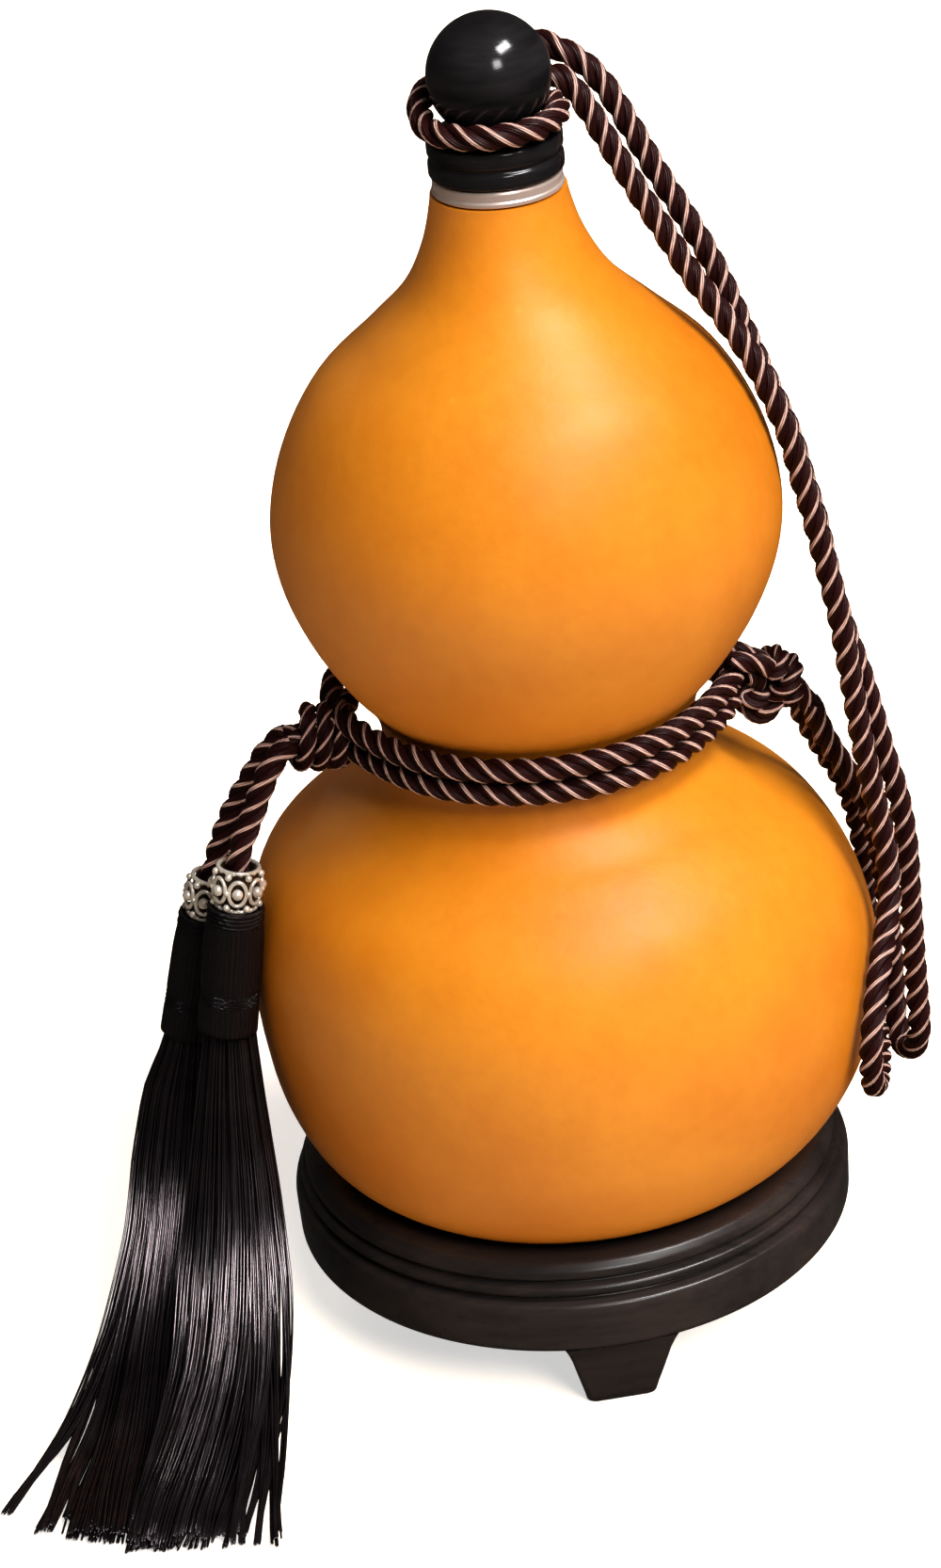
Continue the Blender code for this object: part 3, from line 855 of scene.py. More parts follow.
def black_gloss_material(settings):
    """The stopper's polished black, with faint turning marks under the polish."""
    found, tree, shader = new_material("polished_black")
    mottle = add_group(tree, mottle_group(), Broad_Scale=60.0, Fine_Scale=900.0, Stretch=(1, 1, 6))
    color = tuple(settings.stopper_color)
    lighter = scaled(color, 1.9, 0.004)
    base = ramp(tree, mottle.outputs["Broad"], [(0.35, color), (0.7, lighter)])
    tree.links.new(base, shader.inputs["Base Color"])
    vary_roughness(tree, shader, mottle, 0.1, 0.08)
    shader.inputs["Specular IOR Level"].default_value = 0.35
    bump(tree, mottle.outputs["Fine"], 0.05, 0.0002, shader)
    return found


def stand_material(settings):
    """Black-brown stained wood with its grain showing through a satin varnish."""
    found, tree, shader = new_material("stained_wood")
    mottle = add_group(tree, mottle_group(), Broad_Scale=34.0, Fine_Scale=260.0, Stretch=(0.35, 3.0, 3.0))
    color = tuple(settings.stand_color)
    warm = (color[0] * 1.7 + 0.005, color[1] * 1.5 + 0.003, color[2] * 1.4 + 0.002)
    grain = math_node(tree, "MULTIPLY_ADD", mottle.outputs["Fine"], 0.5, mottle.outputs["Broad"])
    base = ramp(tree, grain, [(0.55, color), (0.95, warm)])
    tree.links.new(base, shader.inputs["Base Color"])
    vary_roughness(tree, shader, mottle, 0.22, 0.16)
    shader.inputs["Specular IOR Level"].default_value = 0.45
    bump(tree, grain, 0.12, 0.0004, shader)
    return found


def cord_material(settings):
    """Twisted silk: dark strands with a painted sheen, a pale stripe along the crowns of the strands,
    broken up by their threads.
    """
    found, tree, shader = new_material("twisted_silk")
    fibre = fibre_of(tree)
    threads = add_group(tree, spun_threads_group(), Count=8.0, Twist=1.1)
    tree.links.new(fibre, threads.inputs["Fibre"])
    parts = node(tree, "ShaderNodeSeparateXYZ")
    tree.links.new(fibre, parts.inputs[0])
    # Painted sheen: a pale stripe in the base colour along the strands' crowns, where silk would shine.
    pale = [(0.905, (0, 0, 0)), (0.96, (1, 1, 1)), (0.99, (0.9, 0.9, 0.9)), (0.999, (0.3, 0.3, 0.3))]
    sheen_crown = ramp(tree, parts.outputs[0], pale)
    broken = ramp(tree, threads.outputs["Shade"], [(0.22, (0.12, 0.12, 0.12)), (0.62, (1, 1, 1))])
    mask = blend_colors(tree, 1.0, sheen_crown, broken, "MULTIPLY")
    dark = tuple(settings.cord_dark)
    # Painted shade: the strands are darker in the grooves between their threads.
    deep = scaled(dark, 0.4)
    base = ramp(tree, threads.outputs["Shade"], [(0.2, deep), (0.75, dark)])
    base = blend_colors(tree, mask, base, tuple(settings.cord_painted_sheen))
    tree.links.new(base, shader.inputs["Base Color"])
    shader.inputs["Roughness"].default_value = 0.42
    shader.inputs["Specular IOR Level"].default_value = 0.22
    bump(tree, threads.outputs["Height"], 0.5, 0.00025, shader)
    return found


def tassel_material(settings):
    """Glossy black silk threads, whose shine is a little pink."""
    found, tree, shader = new_material("black_silk")
    mottle = add_group(tree, mottle_group(), Broad_Scale=140.0, Fine_Scale=1400.0)
    color = tuple(settings.tassel_color)
    warm = scaled(color, 1.8, 0.0015)
    base = ramp(tree, mottle.outputs["Broad"], [(0.3, color), (0.7, warm)])
    tree.links.new(base, shader.inputs["Base Color"])
    vary_roughness(tree, shader, mottle, 0.13, 0.1)
    shader.inputs["Specular IOR Level"].default_value = 0.7
    shader.inputs["Specular Tint"].default_value = (1.0, 0.88, 0.92, 1.0)
    return found


def head_material(settings):
    """The tassels' wound heads: the same silk, with its threads lying side by side."""
    found, tree, shader = new_material("black_silk_wound")
    threads = add_group(tree, spun_threads_group(), Count=34.0, Twist=0.05)
    tree.links.new(fibre_of(tree), threads.inputs["Fibre"])
    color = tuple(settings.tassel_color)
    warm = scaled(color, 1.8, 0.0015)
    # Painted shade: the head is darker in the grooves between the wound threads and lighter on their tops.
    base = ramp(tree, threads.outputs["Shade"], [(0.2, color), (0.8, warm)])
    tree.links.new(base, shader.inputs["Base Color"])
    shader.inputs["Roughness"].default_value = 0.24
    shader.inputs["Specular IOR Level"].default_value = 0.6
    bump(tree, threads.outputs["Height"], 0.4, 0.0002, shader)
    return found


def floor_material(settings):
    """Pale matt floor, a little brighter to the eye than the light on it makes it."""
    found, tree, shader = new_material("pale_floor")
    mottle = add_group(tree, mottle_group(), Broad_Scale=1.5, Fine_Scale=60.0)
    color = tuple(settings.floor_color)
    dimmer = scaled(color, 0.985)
    base = ramp(tree, mottle.outputs["Broad"], [(0.3, dimmer), (0.7, color)])
    tree.links.new(base, shader.inputs["Base Color"])
    shader.inputs["Roughness"].default_value = 0.7
    seen = node(tree, "ShaderNodeLightPath").outputs["Is Camera Ray"]
    shader.inputs["Emission Color"].default_value = (1.0, 1.0, 1.0, 1.0)
    tree.links.new(math_node(tree, "MULTIPLY", seen, 0.5), shader.inputs["Emission Strength"])
    return found


def finish(name, make, settings):
    """A material by name, made the first time that it is asked for."""
    return bpy.data.materials.get(name) or make(settings)


# Cords and knots


def cord_line(route, step=0.7):
    """A cord's centreline in metres, smooth through the places that it passes."""
    return spread(smooth(place(route), 8), step * MM)


def make_cord(name, route, settings):
    """A laid cord along a route, and its centreline."""
    line = cord_line(route)
    shape = Shape()
    add_rope(shape, line, settings.diameter, settings.lay)
    silk = finish("twisted_silk", cord_material, settings)
    return shape.piece(f"{name}_silk", silk, "cord_silk", name), line


def hung_places(parts):
    """The way that a tassel hangs, and the middles of its bead and its head."""
    hang = np.array(Vector(parts["hang"]).normalized())
    bead = np.array(parts["bead"])
    return hang, bead, bead + hang * (BEAD_TO_SLEEVE + SLEEVE_HEIGHT / 2)


def tassel_route(parts):
    """The places that a tassel's cord passes: the bead, the head and the head's foot last."""
    hang, bead, head = hung_places(parts)
    entry = bead - hang * (BEAD_HEIGHT / 2 + BEAD_ENTRY)
    foot = head + hang * (SLEEVE_HEIGHT / 2)
    return [*parts["cord"], entry, bead, head, foot]


def facing(direction, turn_deg=0.0):
    """The turn that brings the Z axis round to a direction."""
    spin = Matrix.Rotation(math.radians(turn_deg), 3, "Z")
    return np.array(Vector(direction).to_track_quat("Z", "Y").to_matrix() @ spin)


def hitch_line(hitch):
    """A cord tied in a plain overhand knot with no ends, drawn up round a centre."""
    t = 2 * math.pi * np.arange(150) / 150
    x = np.sin(t) + 1.5 * np.sin(2 * t)
    y = np.cos(t) - 1.5 * np.cos(2 * t)
    z = -np.sin(3 * t)
    knot = np.stack([x / 2.5, y / 2.5, z], axis=1) * np.array(hitch["size"])
    return place(knot @ facing(hitch["facing"], hitch["turn"]).T + np.array(hitch["centre"]))


def wrap_line(wrap, thick):
    """Close turns of cord round the lengths that pass through a knot, with their ends tucked in."""
    turns = wrap["turns"]
    t = np.linspace(-turns / 2, turns / 2, int(46 * turns))
    tuck = 1.0 - 0.45 * np.clip((np.abs(t) - turns / 2 + 0.16) / 0.16, 0.0, 1.0)
    across, tall = wrap["wide"]
    x = across * tuck * np.cos(2 * math.pi * t)
    y = tall * tuck * np.sin(2 * math.pi * t)
    coil = np.stack([x, y, -thick * 0.96 * t], axis=1)
    return place(coil @ facing(wrap["along"]).T + np.array(wrap["centre"]))


def make_knot(name, knot, settings):
    """A knot drawn up from its lengths, its wrapping and the hitch inside."""
    shape = Shape()
    thick, lay = settings.diameter * TIGHT_SHARE, settings.lay
    for route in knot["lengths"]:
        add_rope(shape, cord_line(route), thick, lay)
    add_rope(shape, hitch_line(knot["hitch"]), thick * HITCH_SHARE, lay, looped=True)
    wrapped = thick * WRAP_SHARE
    coil = wrap_line(knot["wrap"], wrapped / MM)
    add_rope(shape, coil, wrapped, lay * WRAP_LAY_SHARE)
    silk = finish("twisted_silk", cord_material, settings)
    return shape.piece(f"{name}_silk", silk, "cord_silk", name)


def bulge(turn, middle, breadth):
    """One smooth bulge round a circle, its place and breadth in radians."""
    return np.exp(-((np.angle(np.exp(1j * (turn - middle))) / breadth) ** 2))


def waist_line(radius, height):
    """A turn round the waist, drawn out a little to the knot on each side."""
    turn = 2 * math.pi * np.arange(280) / 280
    out = radius + 2.6 * bulge(turn, 0.02, 0.36) + 3.4 * bulge(turn, 3.10, 0.40)
    rise = (height - 109.0) * 0.32 * bulge(turn, 2.86, 0.42)
    return place(np.stack([out * np.cos(turn), out * np.sin(turn), height + rise], axis=1))


# Beads and tassels


def barrel_radius(height):
    """The bead's outside radius at a height above its middle, in millimetres."""
    return 3.1 + (BEAD_RADIUS - 3.25) * math.cos(math.pi * height / (BEAD_HEIGHT + 2.4)) ** 0.8


def on_barrel(turn, height, lift=0.0):
    """A place on the bead's outside, lifted off it."""
    radius = barrel_radius(height) + lift
    return [radius * math.cos(turn), radius * math.sin(turn), height]


def filigree_bead(centre, hang):
    """An openwork bead: looped wires with a grain in each, between two beaded rims."""
    shape = Shape()
    for k in range(BEAD_PETALS):
        middle = 2 * math.pi * k / BEAD_PETALS
        ring = []
        for step in range(22):
            t = 2 * math.pi * step / 22
            ring.append(on_barrel(middle + 0.37 * math.cos(t), 2.15 * math.sin(t), 0.1))
        shape.add_tube(np.array(ring) * MM, 0.36 * MM, 6, looped=True)
        shape.add_ball(np.array(on_barrel(middle, 0.0, 0.15)) * MM, 0.95 * MM)
        # The grains between two petals: height, lift off the bead and radius.
        for height, lift, size in ((2.75, 0.15, 0.62), (-2.75, 0.15, 0.62), (0.0, 0.25, 0.5)):
            between = middle + math.pi / BEAD_PETALS
            shape.add_ball(np.array(on_barrel(between, height, lift)) * MM, size * MM)
    for height in (-BEAD_RIM, BEAD_RIM):
        turn = 2 * math.pi * np.arange(40) / 40
        radius = barrel_radius(height) - 0.15
        rim = np.stack([radius * np.cos(turn), radius * np.sin(turn), 0 * turn + height], axis=1)
        shape.add_tube(rim * MM, 0.34 * MM, 8, looped=True)
        for k in range(RIM_GRAINS):
            grain = 2 * math.pi * k / RIM_GRAINS
            ball = [radius * math.cos(grain), radius * math.sin(grain), height * 0.97]
            shape.add_ball(np.array(ball) * MM, 0.42 * MM)
    return shape.moved(hanging(hang, centre))


def bead_core(centre, hang):
    """The bead's inner sleeve, which shows dark between the wires."""
    shape = Shape()
    half = BEAD_HEIGHT / 2 - 0.3
    ends = CORE_RADIUS - 0.1
    rows = [(SLEEVE_BORE, -half), (ends, -half), (CORE_RADIUS, 0.0), (ends, half), (SLEEVE_BORE, half)]
    rows = eased([(r, z, 0.0) for r, z in rows], 0.2, 2)
    shape.add_rings(turned_rings(rows, 32) * MM, looped=True)
    return shape.moved(hanging(hang, centre))


def wound_head(centre, hang):
    """A tassel's head: upright threads over the cord, with whippings at its top and lower."""
    shape = Shape()
    half = SLEEVE_HEIGHT / 2
    rows = []
    for k in range(41):
        share = k / 40
        height = -half + SLEEVE_HEIGHT * share
        swell = SLEEVE_RADIUS + 0.1 - 0.9 * max(0.0, 2 * share - 1) ** 5
        swell -= 0.35 * math.exp(-(((height + 4.6) / 1.1) ** 2))
        rows.append((swell, height, 0.0))
    rows = [(SLEEVE_BORE, -half, 0.0), *rows, (SLEEVE_BORE, half, 0.0)]
    rings = turned_rings(rows, HEAD_SIDES)
    turn = 2 * math.pi * np.arange(HEAD_SIDES) / HEAD_SIDES
    ridge = 1 + 0.016 * np.cos(36 * turn) + 0.008 * np.cos(11 * turn + 1.3)
    rings[1:-1, :, :2] *= ridge[:, None]
    fibres = np.empty(rings.shape)
    fibres[..., 0], fibres[..., 1] = np.cos(turn), np.sin(turn)
    fibres[..., 2] = rings[..., 2]
    shape.add_rings(rings * MM, fibres, looped=True)
    # Each whipping: the height of its middle, its radius, its thread's radius and its turns.
    whippings = ((half - 0.7, 4.45, 0.42, 4), (-4.6, 4.75, 0.24, 5))
    for level, radius, thick, turns in whippings:
        for k in range(turns):
            height = level + (turns / 2 - k - 0.5) * 1.7 * thick
            around = 2 * math.pi * np.arange(72) / 72
            lumpy = radius + 0.09 * np.cos(18 * around + k * math.pi)
            coil = [lumpy * np.cos(around), lumpy * np.sin(around), 0 * around + height]
            shape.add_tube(np.stack(coil, axis=1) * MM, thick * MM, 6, looped=True)
    return shape.moved(hanging(hang, centre))


class Bundle:
    """The way that a tassel's threads take: its middle, its breadth and its depth, by the share
    of its length from the head."""

    def __init__(self, stations):
        self.middles = spread(smooth([middle for middle, _, _ in stations], 6), 0.5)
        steps = [math.dist(a[0], b[0]) for a, b in zip(stations, stations[1:])]
        self.at = np.r_[0.0, np.cumsum(steps)] / sum(steps)
        self.wide = [station[1] for station in stations]
        self.deep = [station[2] for station in stations]
        along = unit(np.gradient(self.middles, axis=0))
        # The bundle is broad from left to right, turned a little to the front.
        across = np.array([1.0, -0.25, 0.0])
        self.across = unit(across - along * (along @ across)[:, None])
        self.outward = unit(np.cross(self.across, along))

    def line(self, share, side, rise):
        """Points at shares of the length, so far to the side and outward in half breadths."""
        spot = share * (len(self.middles) - 1)
        low = np.minimum(spot.astype(int), len(self.middles) - 2)
        part = (spot - low)[:, None]
        middle = self.middles[low] * (1 - part) + self.middles[low + 1] * part
        wide = np.interp(share, self.at, self.wide) * side
        deep = np.interp(share, self.at, self.deep) * rise
        return middle + self.across[low] * wide[:, None] + self.outward[low] * deep[:, None]


def flared(side, share, flare, thinning):
    """Places across the bundle, thinned out and drawn outward towards the flare's side."""
    lean = np.clip((flare * side + 1.0) / 2.0, 0.0, 0.955)
    thinned = 2.0 * lean ** (1.0 + thinning * share**3) - 1.0
    return flare * (thinned + 0.4 * lean**5 * share**3)


def thread_bundle(stations, settings, seed, flare):
    """A tassel's threads. They hang in loose locks from the head, bend over on to the floor and
    end ragged. Towards the flare's side they thin out, and each lock there draws together into
    one strand."""
    rng = np.random.default_rng(seed)
    bundle, shape = Bundle(stations), Shape()
    radius = settings.thread_width / MM / 2
    blunt_end = np.r_[np.ones(THREAD_STEPS - 2), 0.95, 0.15]
    for lock in range(settings.locks):
        reach = LOCK_REACH * math.sqrt((lock + 0.5) / settings.locks)
        across, out = reach * math.cos(lock * LOCK_TURN), reach * math.sin(lock * LOCK_TURN)
        lock_end = 0.996 - 0.045 * rng.random() ** 1.5
        drift, phase = rng.normal(0.0, 0.04), rng.random(2) * WHOLE_TURN
        tight = 0.35 + 0.57 * min(max(4.0 * flare * across - 1.2, 0.0), 1.0)
        for _ in range(settings.threads_in_lock):
            # Where the thread starts in its lock, and how far down it ends.
            spot, away = WHOLE_TURN * rng.random(), LOCK_SPREAD * math.sqrt(rng.random())
            end = lock_end - 0.018 * rng.random() ** 2
            share = np.append(np.linspace(0.0, end, THREAD_STEPS - 1), end + 0.004)
            gather = away * (1.0 - tight * np.clip((share - 0.5) / 0.4, 0.0, 1.0))
            # How it strays: with its lock, by itself, in long waves and in short ones.
            side = across + math.cos(spot) * gather + drift * share**2
            side = side + 0.05 * share**2 * np.sin(6 * share + phase[0])
            side = side + rng.normal(0, 0.045) * (1.0 - tight) * share**3
            rise = out + math.sin(spot) * gather
            rise = rise + 0.07 * share * np.sin(9 * share + phase[1] + rng.normal(0, 0.5))
            rise = rise + 0.03 * share * np.sin(38 * share + WHOLE_TURN * rng.random())
            line = bundle.line(share, flared(side, share, flare, settings.thinning), rise)
            line[:, 2] = np.maximum(line[:, 2], radius + 0.05)
            shape.add_tube(place(line), radius * MM * blunt_end, THREAD_SIDES)
    return shape


# Settings


def a_color(name, description, default):
    """A colour that the user may change."""
    return FloatVectorProperty(
        name=name,
        description=description,
        default=default,
        min=0.0,
        max=1.0,
        size=3,
        subtype="COLOR",
    )


def a_length(name, description, default, least, most):
    """A length in metres."""
    return FloatProperty(
        name=name,
        description=description,
        default=default,
        min=least,
        max=most,
        precision=5,
        subtype="DISTANCE",
        unit="LENGTH",
    )


def a_share(name, description, default, least, most):
    """A plain number, shown as a slider."""
    return FloatProperty(
        name=name,
        description=description,
        default=default,
        min=least,
        max=most,
        subtype="FACTOR",
    )


def a_power(name, description, default):
    """A lamp's power in watts."""
    return FloatProperty(
        name=name,
        description=description,
        default=default,
        min=0.0,
        unit="POWER",
    )


def a_strength(name, description, default):
    """A strength that Blender has no unit for."""
    return FloatProperty(name=name, description=description, default=default, min=0.0)


def a_count(name, description, default, least, most):
    """A whole number of things."""
    return IntProperty(name=name, description=description, default=default, min=least, max=most)


class GourdSettings(bpy.types.PropertyGroup):
    """The rind's colours, gloss and shape"""

    rind_light: a_color("Rind light", "Rind where it is palest", (0.36, 0.13, 0.0085))
    rind_deep: a_color("Rind deep", "Rind in its darker clouds", (0.315, 0.099, 0.0045))
    varnish_roughness: a_share("Varnish roughness", "How soft its gloss is", 0.42, 0.05, 0.9)
    sides: a_count("Sides", "Faces round the gourd", 160, 48, 400)
    unevenness: a_length("Unevenness", "How far it wanders from round", 0.0003, 0.0, 0.001)


class CordSettings(bpy.types.PropertyGroup):
    """The cord's size, lay and colours"""

    diameter: a_length("Diameter", "The cord's diameter", 0.0042, 0.002, 0.006)
    lay: a_length("Lay", "Length of one full turn of a strand", 0.0124, 0.006, 0.05)
    cord_dark: a_color("Dark silk", "Most of the cord", (0.018, 0.0042, 0.004))
    # Colour of the painted sheen on the strands' crowns.
    cord_painted_sheen: a_color("Pale silk", "Threads on the strands' crowns", (0.42, 0.27, 0.23))


class StopperSettings(bpy.types.PropertyGroup):
    """The stopper's and the mouth ring's colours"""

    stopper_color: a_color("Stopper", "Polished black of the stopper", (0.004, 0.0035, 0.004))
    ring_color: a_color("Mouth ring", "Plated ring under the stopper", (0.66, 0.53, 0.48))


class StandSettings(bpy.types.PropertyGroup):
    """The stand's colour and fineness"""

    stand_color: a_color("Stand", "Stained wood of the stand", (0.0105, 0.009, 0.009))
    sides: a_count("Sides", "Faces round the turned plate", 192, 48, 400)


class TasselSettings(bpy.types.PropertyGroup):
    """The tassels' threads, and their and the beads' colours"""

    locks: a_count("Locks", "Locks of threads in each tassel", 54, 10, 80)
    threads_in_lock: a_count("Threads in a lock", "Threads in each lock", 12, 2, 14)
    thinning: a_share("Thinning", "How much the flare thins out", 1.2, 0.0, 3.0)
    thread_width: a_length("Thread width", "Breadth of a thread", 0.00042, 0.0002, 0.001)
    tassel_color: a_color("Silk", "Black silk of the tassels", (0.0025, 0.0018, 0.002))
    bead_color: a_color("Bead", "Pale plated filigree", (0.86, 0.78, 0.68))
    core_color: a_color("Bead core", "Sleeve inside the filigree", (0.20, 0.14, 0.10))


class StageSettings(bpy.types.PropertyGroup):
    """The floor's colour and the lamps' powers"""

    floor_color: a_color("Floor", "Pale floor", (0.90, 0.78, 0.64))
    broad_power: a_strength("Broad light", "Its strength in watts per square metre", 5.3)
    back_power: a_strength("Back light", "Its strength in watts per square metre", 1.2)
    breadth: FloatProperty(
        name="Breadth",
        description="How broad the broad light and the back light are",
        default=math.radians(45.0),
        min=math.radians(1.0),
        max=math.radians(170.0),
        subtype="ANGLE",
        unit="ROTATION",
    )
    high_power: a_power("High softbox", "Its power", 10.0)
    front_power: a_power("Front softbox", "Its power", 5.0)
    strip_power: a_power("Strip softbox", "Its power", 32.0)
    surround: a_strength("Surround", "Brightness of the surround", 0.04)


# Operators


class GOURD_OT_camera(bpy.types.Operator):
    """Stand the camera where the photograph was taken from"""

    bl_idname = "gourd.camera"
    bl_label = "Camera"

    def execute(self, context):
        data = bpy.data.cameras.new("photograph")
        data.lens = CAMERA_LENS_MM
        data.sensor_width = CAMERA_SENSOR_MM
        data.sensor_fit = "AUTO"
        data.clip_start, data.clip_end = 0.01, 20.0
        right, up = Vector(CAMERA_RIGHT).normalized(), Vector(CAMERA_UP).normalized()
        back = right.cross(up)
        turn = Matrix((right, up, back)).transposed()
        camera = bpy.data.objects.new("photograph", data)
        camera.matrix_world = Matrix.Translation(CAMERA_PLACE_M) @ turn.to_4x4()
        context.scene.collection.objects.link(camera)
        context.scene.camera = camera
        return {"FINISHED"}


class GOURD_OT_hanging_cords(bpy.types.Operator):
    """Lay up the two long strands and the tassels' cords"""

    bl_idname = "gourd.hanging_cords"
    bl_label = "Hanging cords"

    def execute(self, context):
        settings = context.scene.gourd_cord
        for name, route in LEASHES.items():
            cord, line = make_cord(name, route, settings)
        for side, parts in TASSELS.items():
            make_cord(f"tassel_cord_{side}", tassel_route(parts), settings)
        return {"FINISHED"}


class GOURD_OT_rind(bpy.types.Operator):
    """Grow the gourd: one hollow double-bulbed rind, a little uneven, open at its lip"""

    bl_idname = "gourd.rind"
    bl_label = "Rind"

    def execute(self, context):
        settings = context.scene.gourd_rind
        outside = smooth(GOURD_OUTLINE, 6)
        inside = offset_rows(smooth(GOURD_OUTLINE, 2), -GOURD_WALL)
        lip_radius, lip_z, lip_x = GOURD_OUTLINE[-1]
        lip = [(lip_radius - 0.5, lip_z, lip_x), (lip_radius - GOURD_WALL, lip_z, lip_x)]
        inside = inside[inside[:, 1] < lip_z - 1.0][1:]
        rings = turned_rings([*outside[1:], *lip, *inside[::-1]], settings.sides)
        start = (outside[0][2], 0.0, outside[0][1])
        end = (outside[0][2], 0.0, outside[0][1] + GOURD_WALL)
        rings = self.uneven(rings, settings.unevenness / MM)
        shape = Shape()
        shape.add_rings(place(rings), start=place(start), end=place(end))
        rind = finish("varnished_rind", rind_material, settings)
        shape.piece("gourd_rind", rind, "gourd_rind", "gourd", sharp_deg=60)
        return {"FINISHED"}

    def uneven(self, rings, most):
        """Broad swells over the rind, fading out at the lip, the waist and the stand."""
        x, y, z = rings[..., 0], rings[..., 1], rings[..., 2]
        turn = np.arctan2(y, x)
        swell = np.sin(2 * turn + 0.021 * z) + 0.6 * np.sin(3 * turn - 0.034 * z + 1.1)
        swell = swell + 0.35 * np.sin(5 * turn + 0.055 * z + 2.3)
        above = np.clip((z - UNEVEN_FROM) / 15.0, 0.0, 1.0)
        below = np.clip((UNEVEN_TO - z) / 20.0, 0.0, 1.0)
        off_waist = 1.0 - np.exp(-(((z - WAIST_HEIGHT) / 14.0) ** 2))
        moved = swell * above * below * off_waist * most * 0.5
        rings = rings.copy()
        rings[..., 0] += moved * np.cos(turn)
        rings[..., 1] += moved * np.sin(turn)
        return rings


class GOURD_OT_mouth_ring(bpy.types.Operator):
    """Turn the plated ring on the gourd's lip"""

    bl_idname = "gourd.mouth_ring"
    bl_label = "Mouth ring"

    def execute(self, context):
        settings = context.scene.gourd_stopper
        section = [
            (RING_BORE, RING_LOW + 0.4),
            (RING_BORE, RING_LOW),
            (RING_RADIUS, RING_LOW),
            (RING_RADIUS + 0.05, RING_LOW + 0.7),
            (RING_RADIUS - 0.25, RING_LOW + 0.9),
            (RING_RADIUS - 0.1, RING_HIGH - 0.5),
            (RING_RADIUS - 0.4, RING_HIGH),
            (RING_BORE, RING_HIGH),
            (RING_BORE, RING_LOW + 0.5),
        ]
        rows = eased([(r, z, MOUTH_X) for r, z in section], 0.2)
        shape = Shape()
        shape.add_rings(place(turned_rings(rows, RING_SIDES)), looped=True)
        metal = metal_material("ring_plate", settings.ring_color, 0.22, 90.0, 0.9, 0.75)
        shape.piece("mouth_ring_plated", metal, "ring_metal", "mouth_ring", sharp_deg=50)
        return {"FINISHED"}


class GOURD_OT_stopper(bpy.types.Operator):
    """Turn and polish the stopper: its plug, its grooved flange and its ball"""

    bl_idname = "gourd.stopper"
    bl_label = "Stopper"

    def execute(self, context):
        settings = context.scene.gourd_stopper
        groove = (FLANGE_LOW + FLANGE_HIGH) / 2
        section = [
            (0.3, PLUG_LOW),
            (PLUG_RADIUS - 1.2, PLUG_LOW),
            (PLUG_RADIUS, PLUG_LOW + 2.0),
            (PLUG_RADIUS, FLANGE_LOW),
            (FLANGE_RADIUS, FLANGE_LOW),
            (FLANGE_RADIUS, groove - 0.75),
            (FLANGE_RADIUS - FLANGE_GROOVE, groove - 0.35),
            (FLANGE_RADIUS - FLANGE_GROOVE, groove + 0.1),
            (FLANGE_RADIUS, groove + 0.5),
            (FLANGE_RADIUS, FLANGE_HIGH),
            (STOPPER_NECK + 0.4, FLANGE_HIGH),
            (STOPPER_NECK - 0.1, FLANGE_HIGH + 0.9),
        ]
        rows = eased([(r, z, MOUTH_X) for r, z in section], 0.5)
        low = -math.acos(STOPPER_NECK / BALL_RADIUS)
        for rise in np.linspace(low, math.pi / 2, 48)[1:-1]:
            radius, height = BALL_RADIUS * math.cos(rise), BALL_Z + BALL_RADIUS * math.sin(rise)
            rows.append((radius, height, MOUTH_X))
        shape = Shape()
        top = place((MOUTH_X, 0.0, BALL_Z + BALL_RADIUS))
        shape.add_rings(place(turned_rings(rows, RING_SIDES)), end=top)
        black = finish("polished_black", black_gloss_material, settings)
        shape.piece("stopper_polished", black, "stopper_black", "stopper", sharp_deg=60)
        return {"FINISHED"}


class GOURD_OT_stand(bpy.types.Operator):
    """Turn the stand's moulded plate and carve its three feet"""

    bl_idname = "gourd.stand"
    bl_label = "Stand"

    def execute(self, context):
        settings = context.scene.gourd_stand
        wood = finish("stained_wood", stand_material, settings)
        self.plate(settings, wood)
        for number, angle in enumerate(FOOT_ANGLES, 1):
            self.foot(number, angle, wood)
        return {"FINISHED"}

    def plate(self, settings, wood):
        """The turned plate, dished on top to the gourd's own shape."""
        under = offset_rows(smooth(GOURD_OUTLINE, 6), DISH_CLEARANCE)
        first_out = int(np.argmax(under[:, 0] >= DISH_EDGE))
        dish = [(r, z, STAND_X) for r, z, _ in under[1:first_out]]
        rim = eased([(r, z, STAND_X) for r, z in PLATE_OUTLINE], 0.45, 5)
        rows = [(0.5, PLATE_LOW, STAND_X), *rim, *reversed(dish)]
        shape = Shape()
        low, high = (STAND_X, 0.0, PLATE_LOW), (STAND_X, 0.0, under[0][1])
        shape.add_rings(place(turned_rings(rows, settings.sides)), start=place(low), end=place(high))
        shape.piece("stand_plate_turned", wood, "stand_wood", "stand_plate", sharp_deg=50)

    def foot(self, number, angle, wood):
        """A foot as rounded oblong rows that flare a little where they meet the plate."""
        rings = np.array([self.oblong(*row) for row in FOOT_ROWS])
        turn = np.array(Matrix.Rotation(math.radians(angle), 3, "Z"))
        shape = Shape()
        shape.add_rings(place(rings @ turn.T + np.array([STAND_X, 0.0, 0.0])))
        shape.piece(f"stand_foot_{number}_carved", wood, "stand_wood", f"stand_foot_{number}", sharp_deg=40)

    def oblong(self, height, width, outer, corner):
        """One row of a foot, an oblong with round corners."""
        ring = []
        middle = -(FOOT_INNER + outer) / 2
        half = np.array([width / 2 - corner, (outer - FOOT_INNER) / 2 - corner])
        for quarter, (sx, sy) in enumerate(((1, 1), (-1, 1), (-1, -1), (1, -1))):
            for step in range(5):
                t = math.pi / 2 * (quarter + step / 4)
                x = sx * half[0] + corner * math.cos(t)
                y = middle + sy * half[1] + corner * math.sin(t)
                ring.append((x, y, height))
        return ring


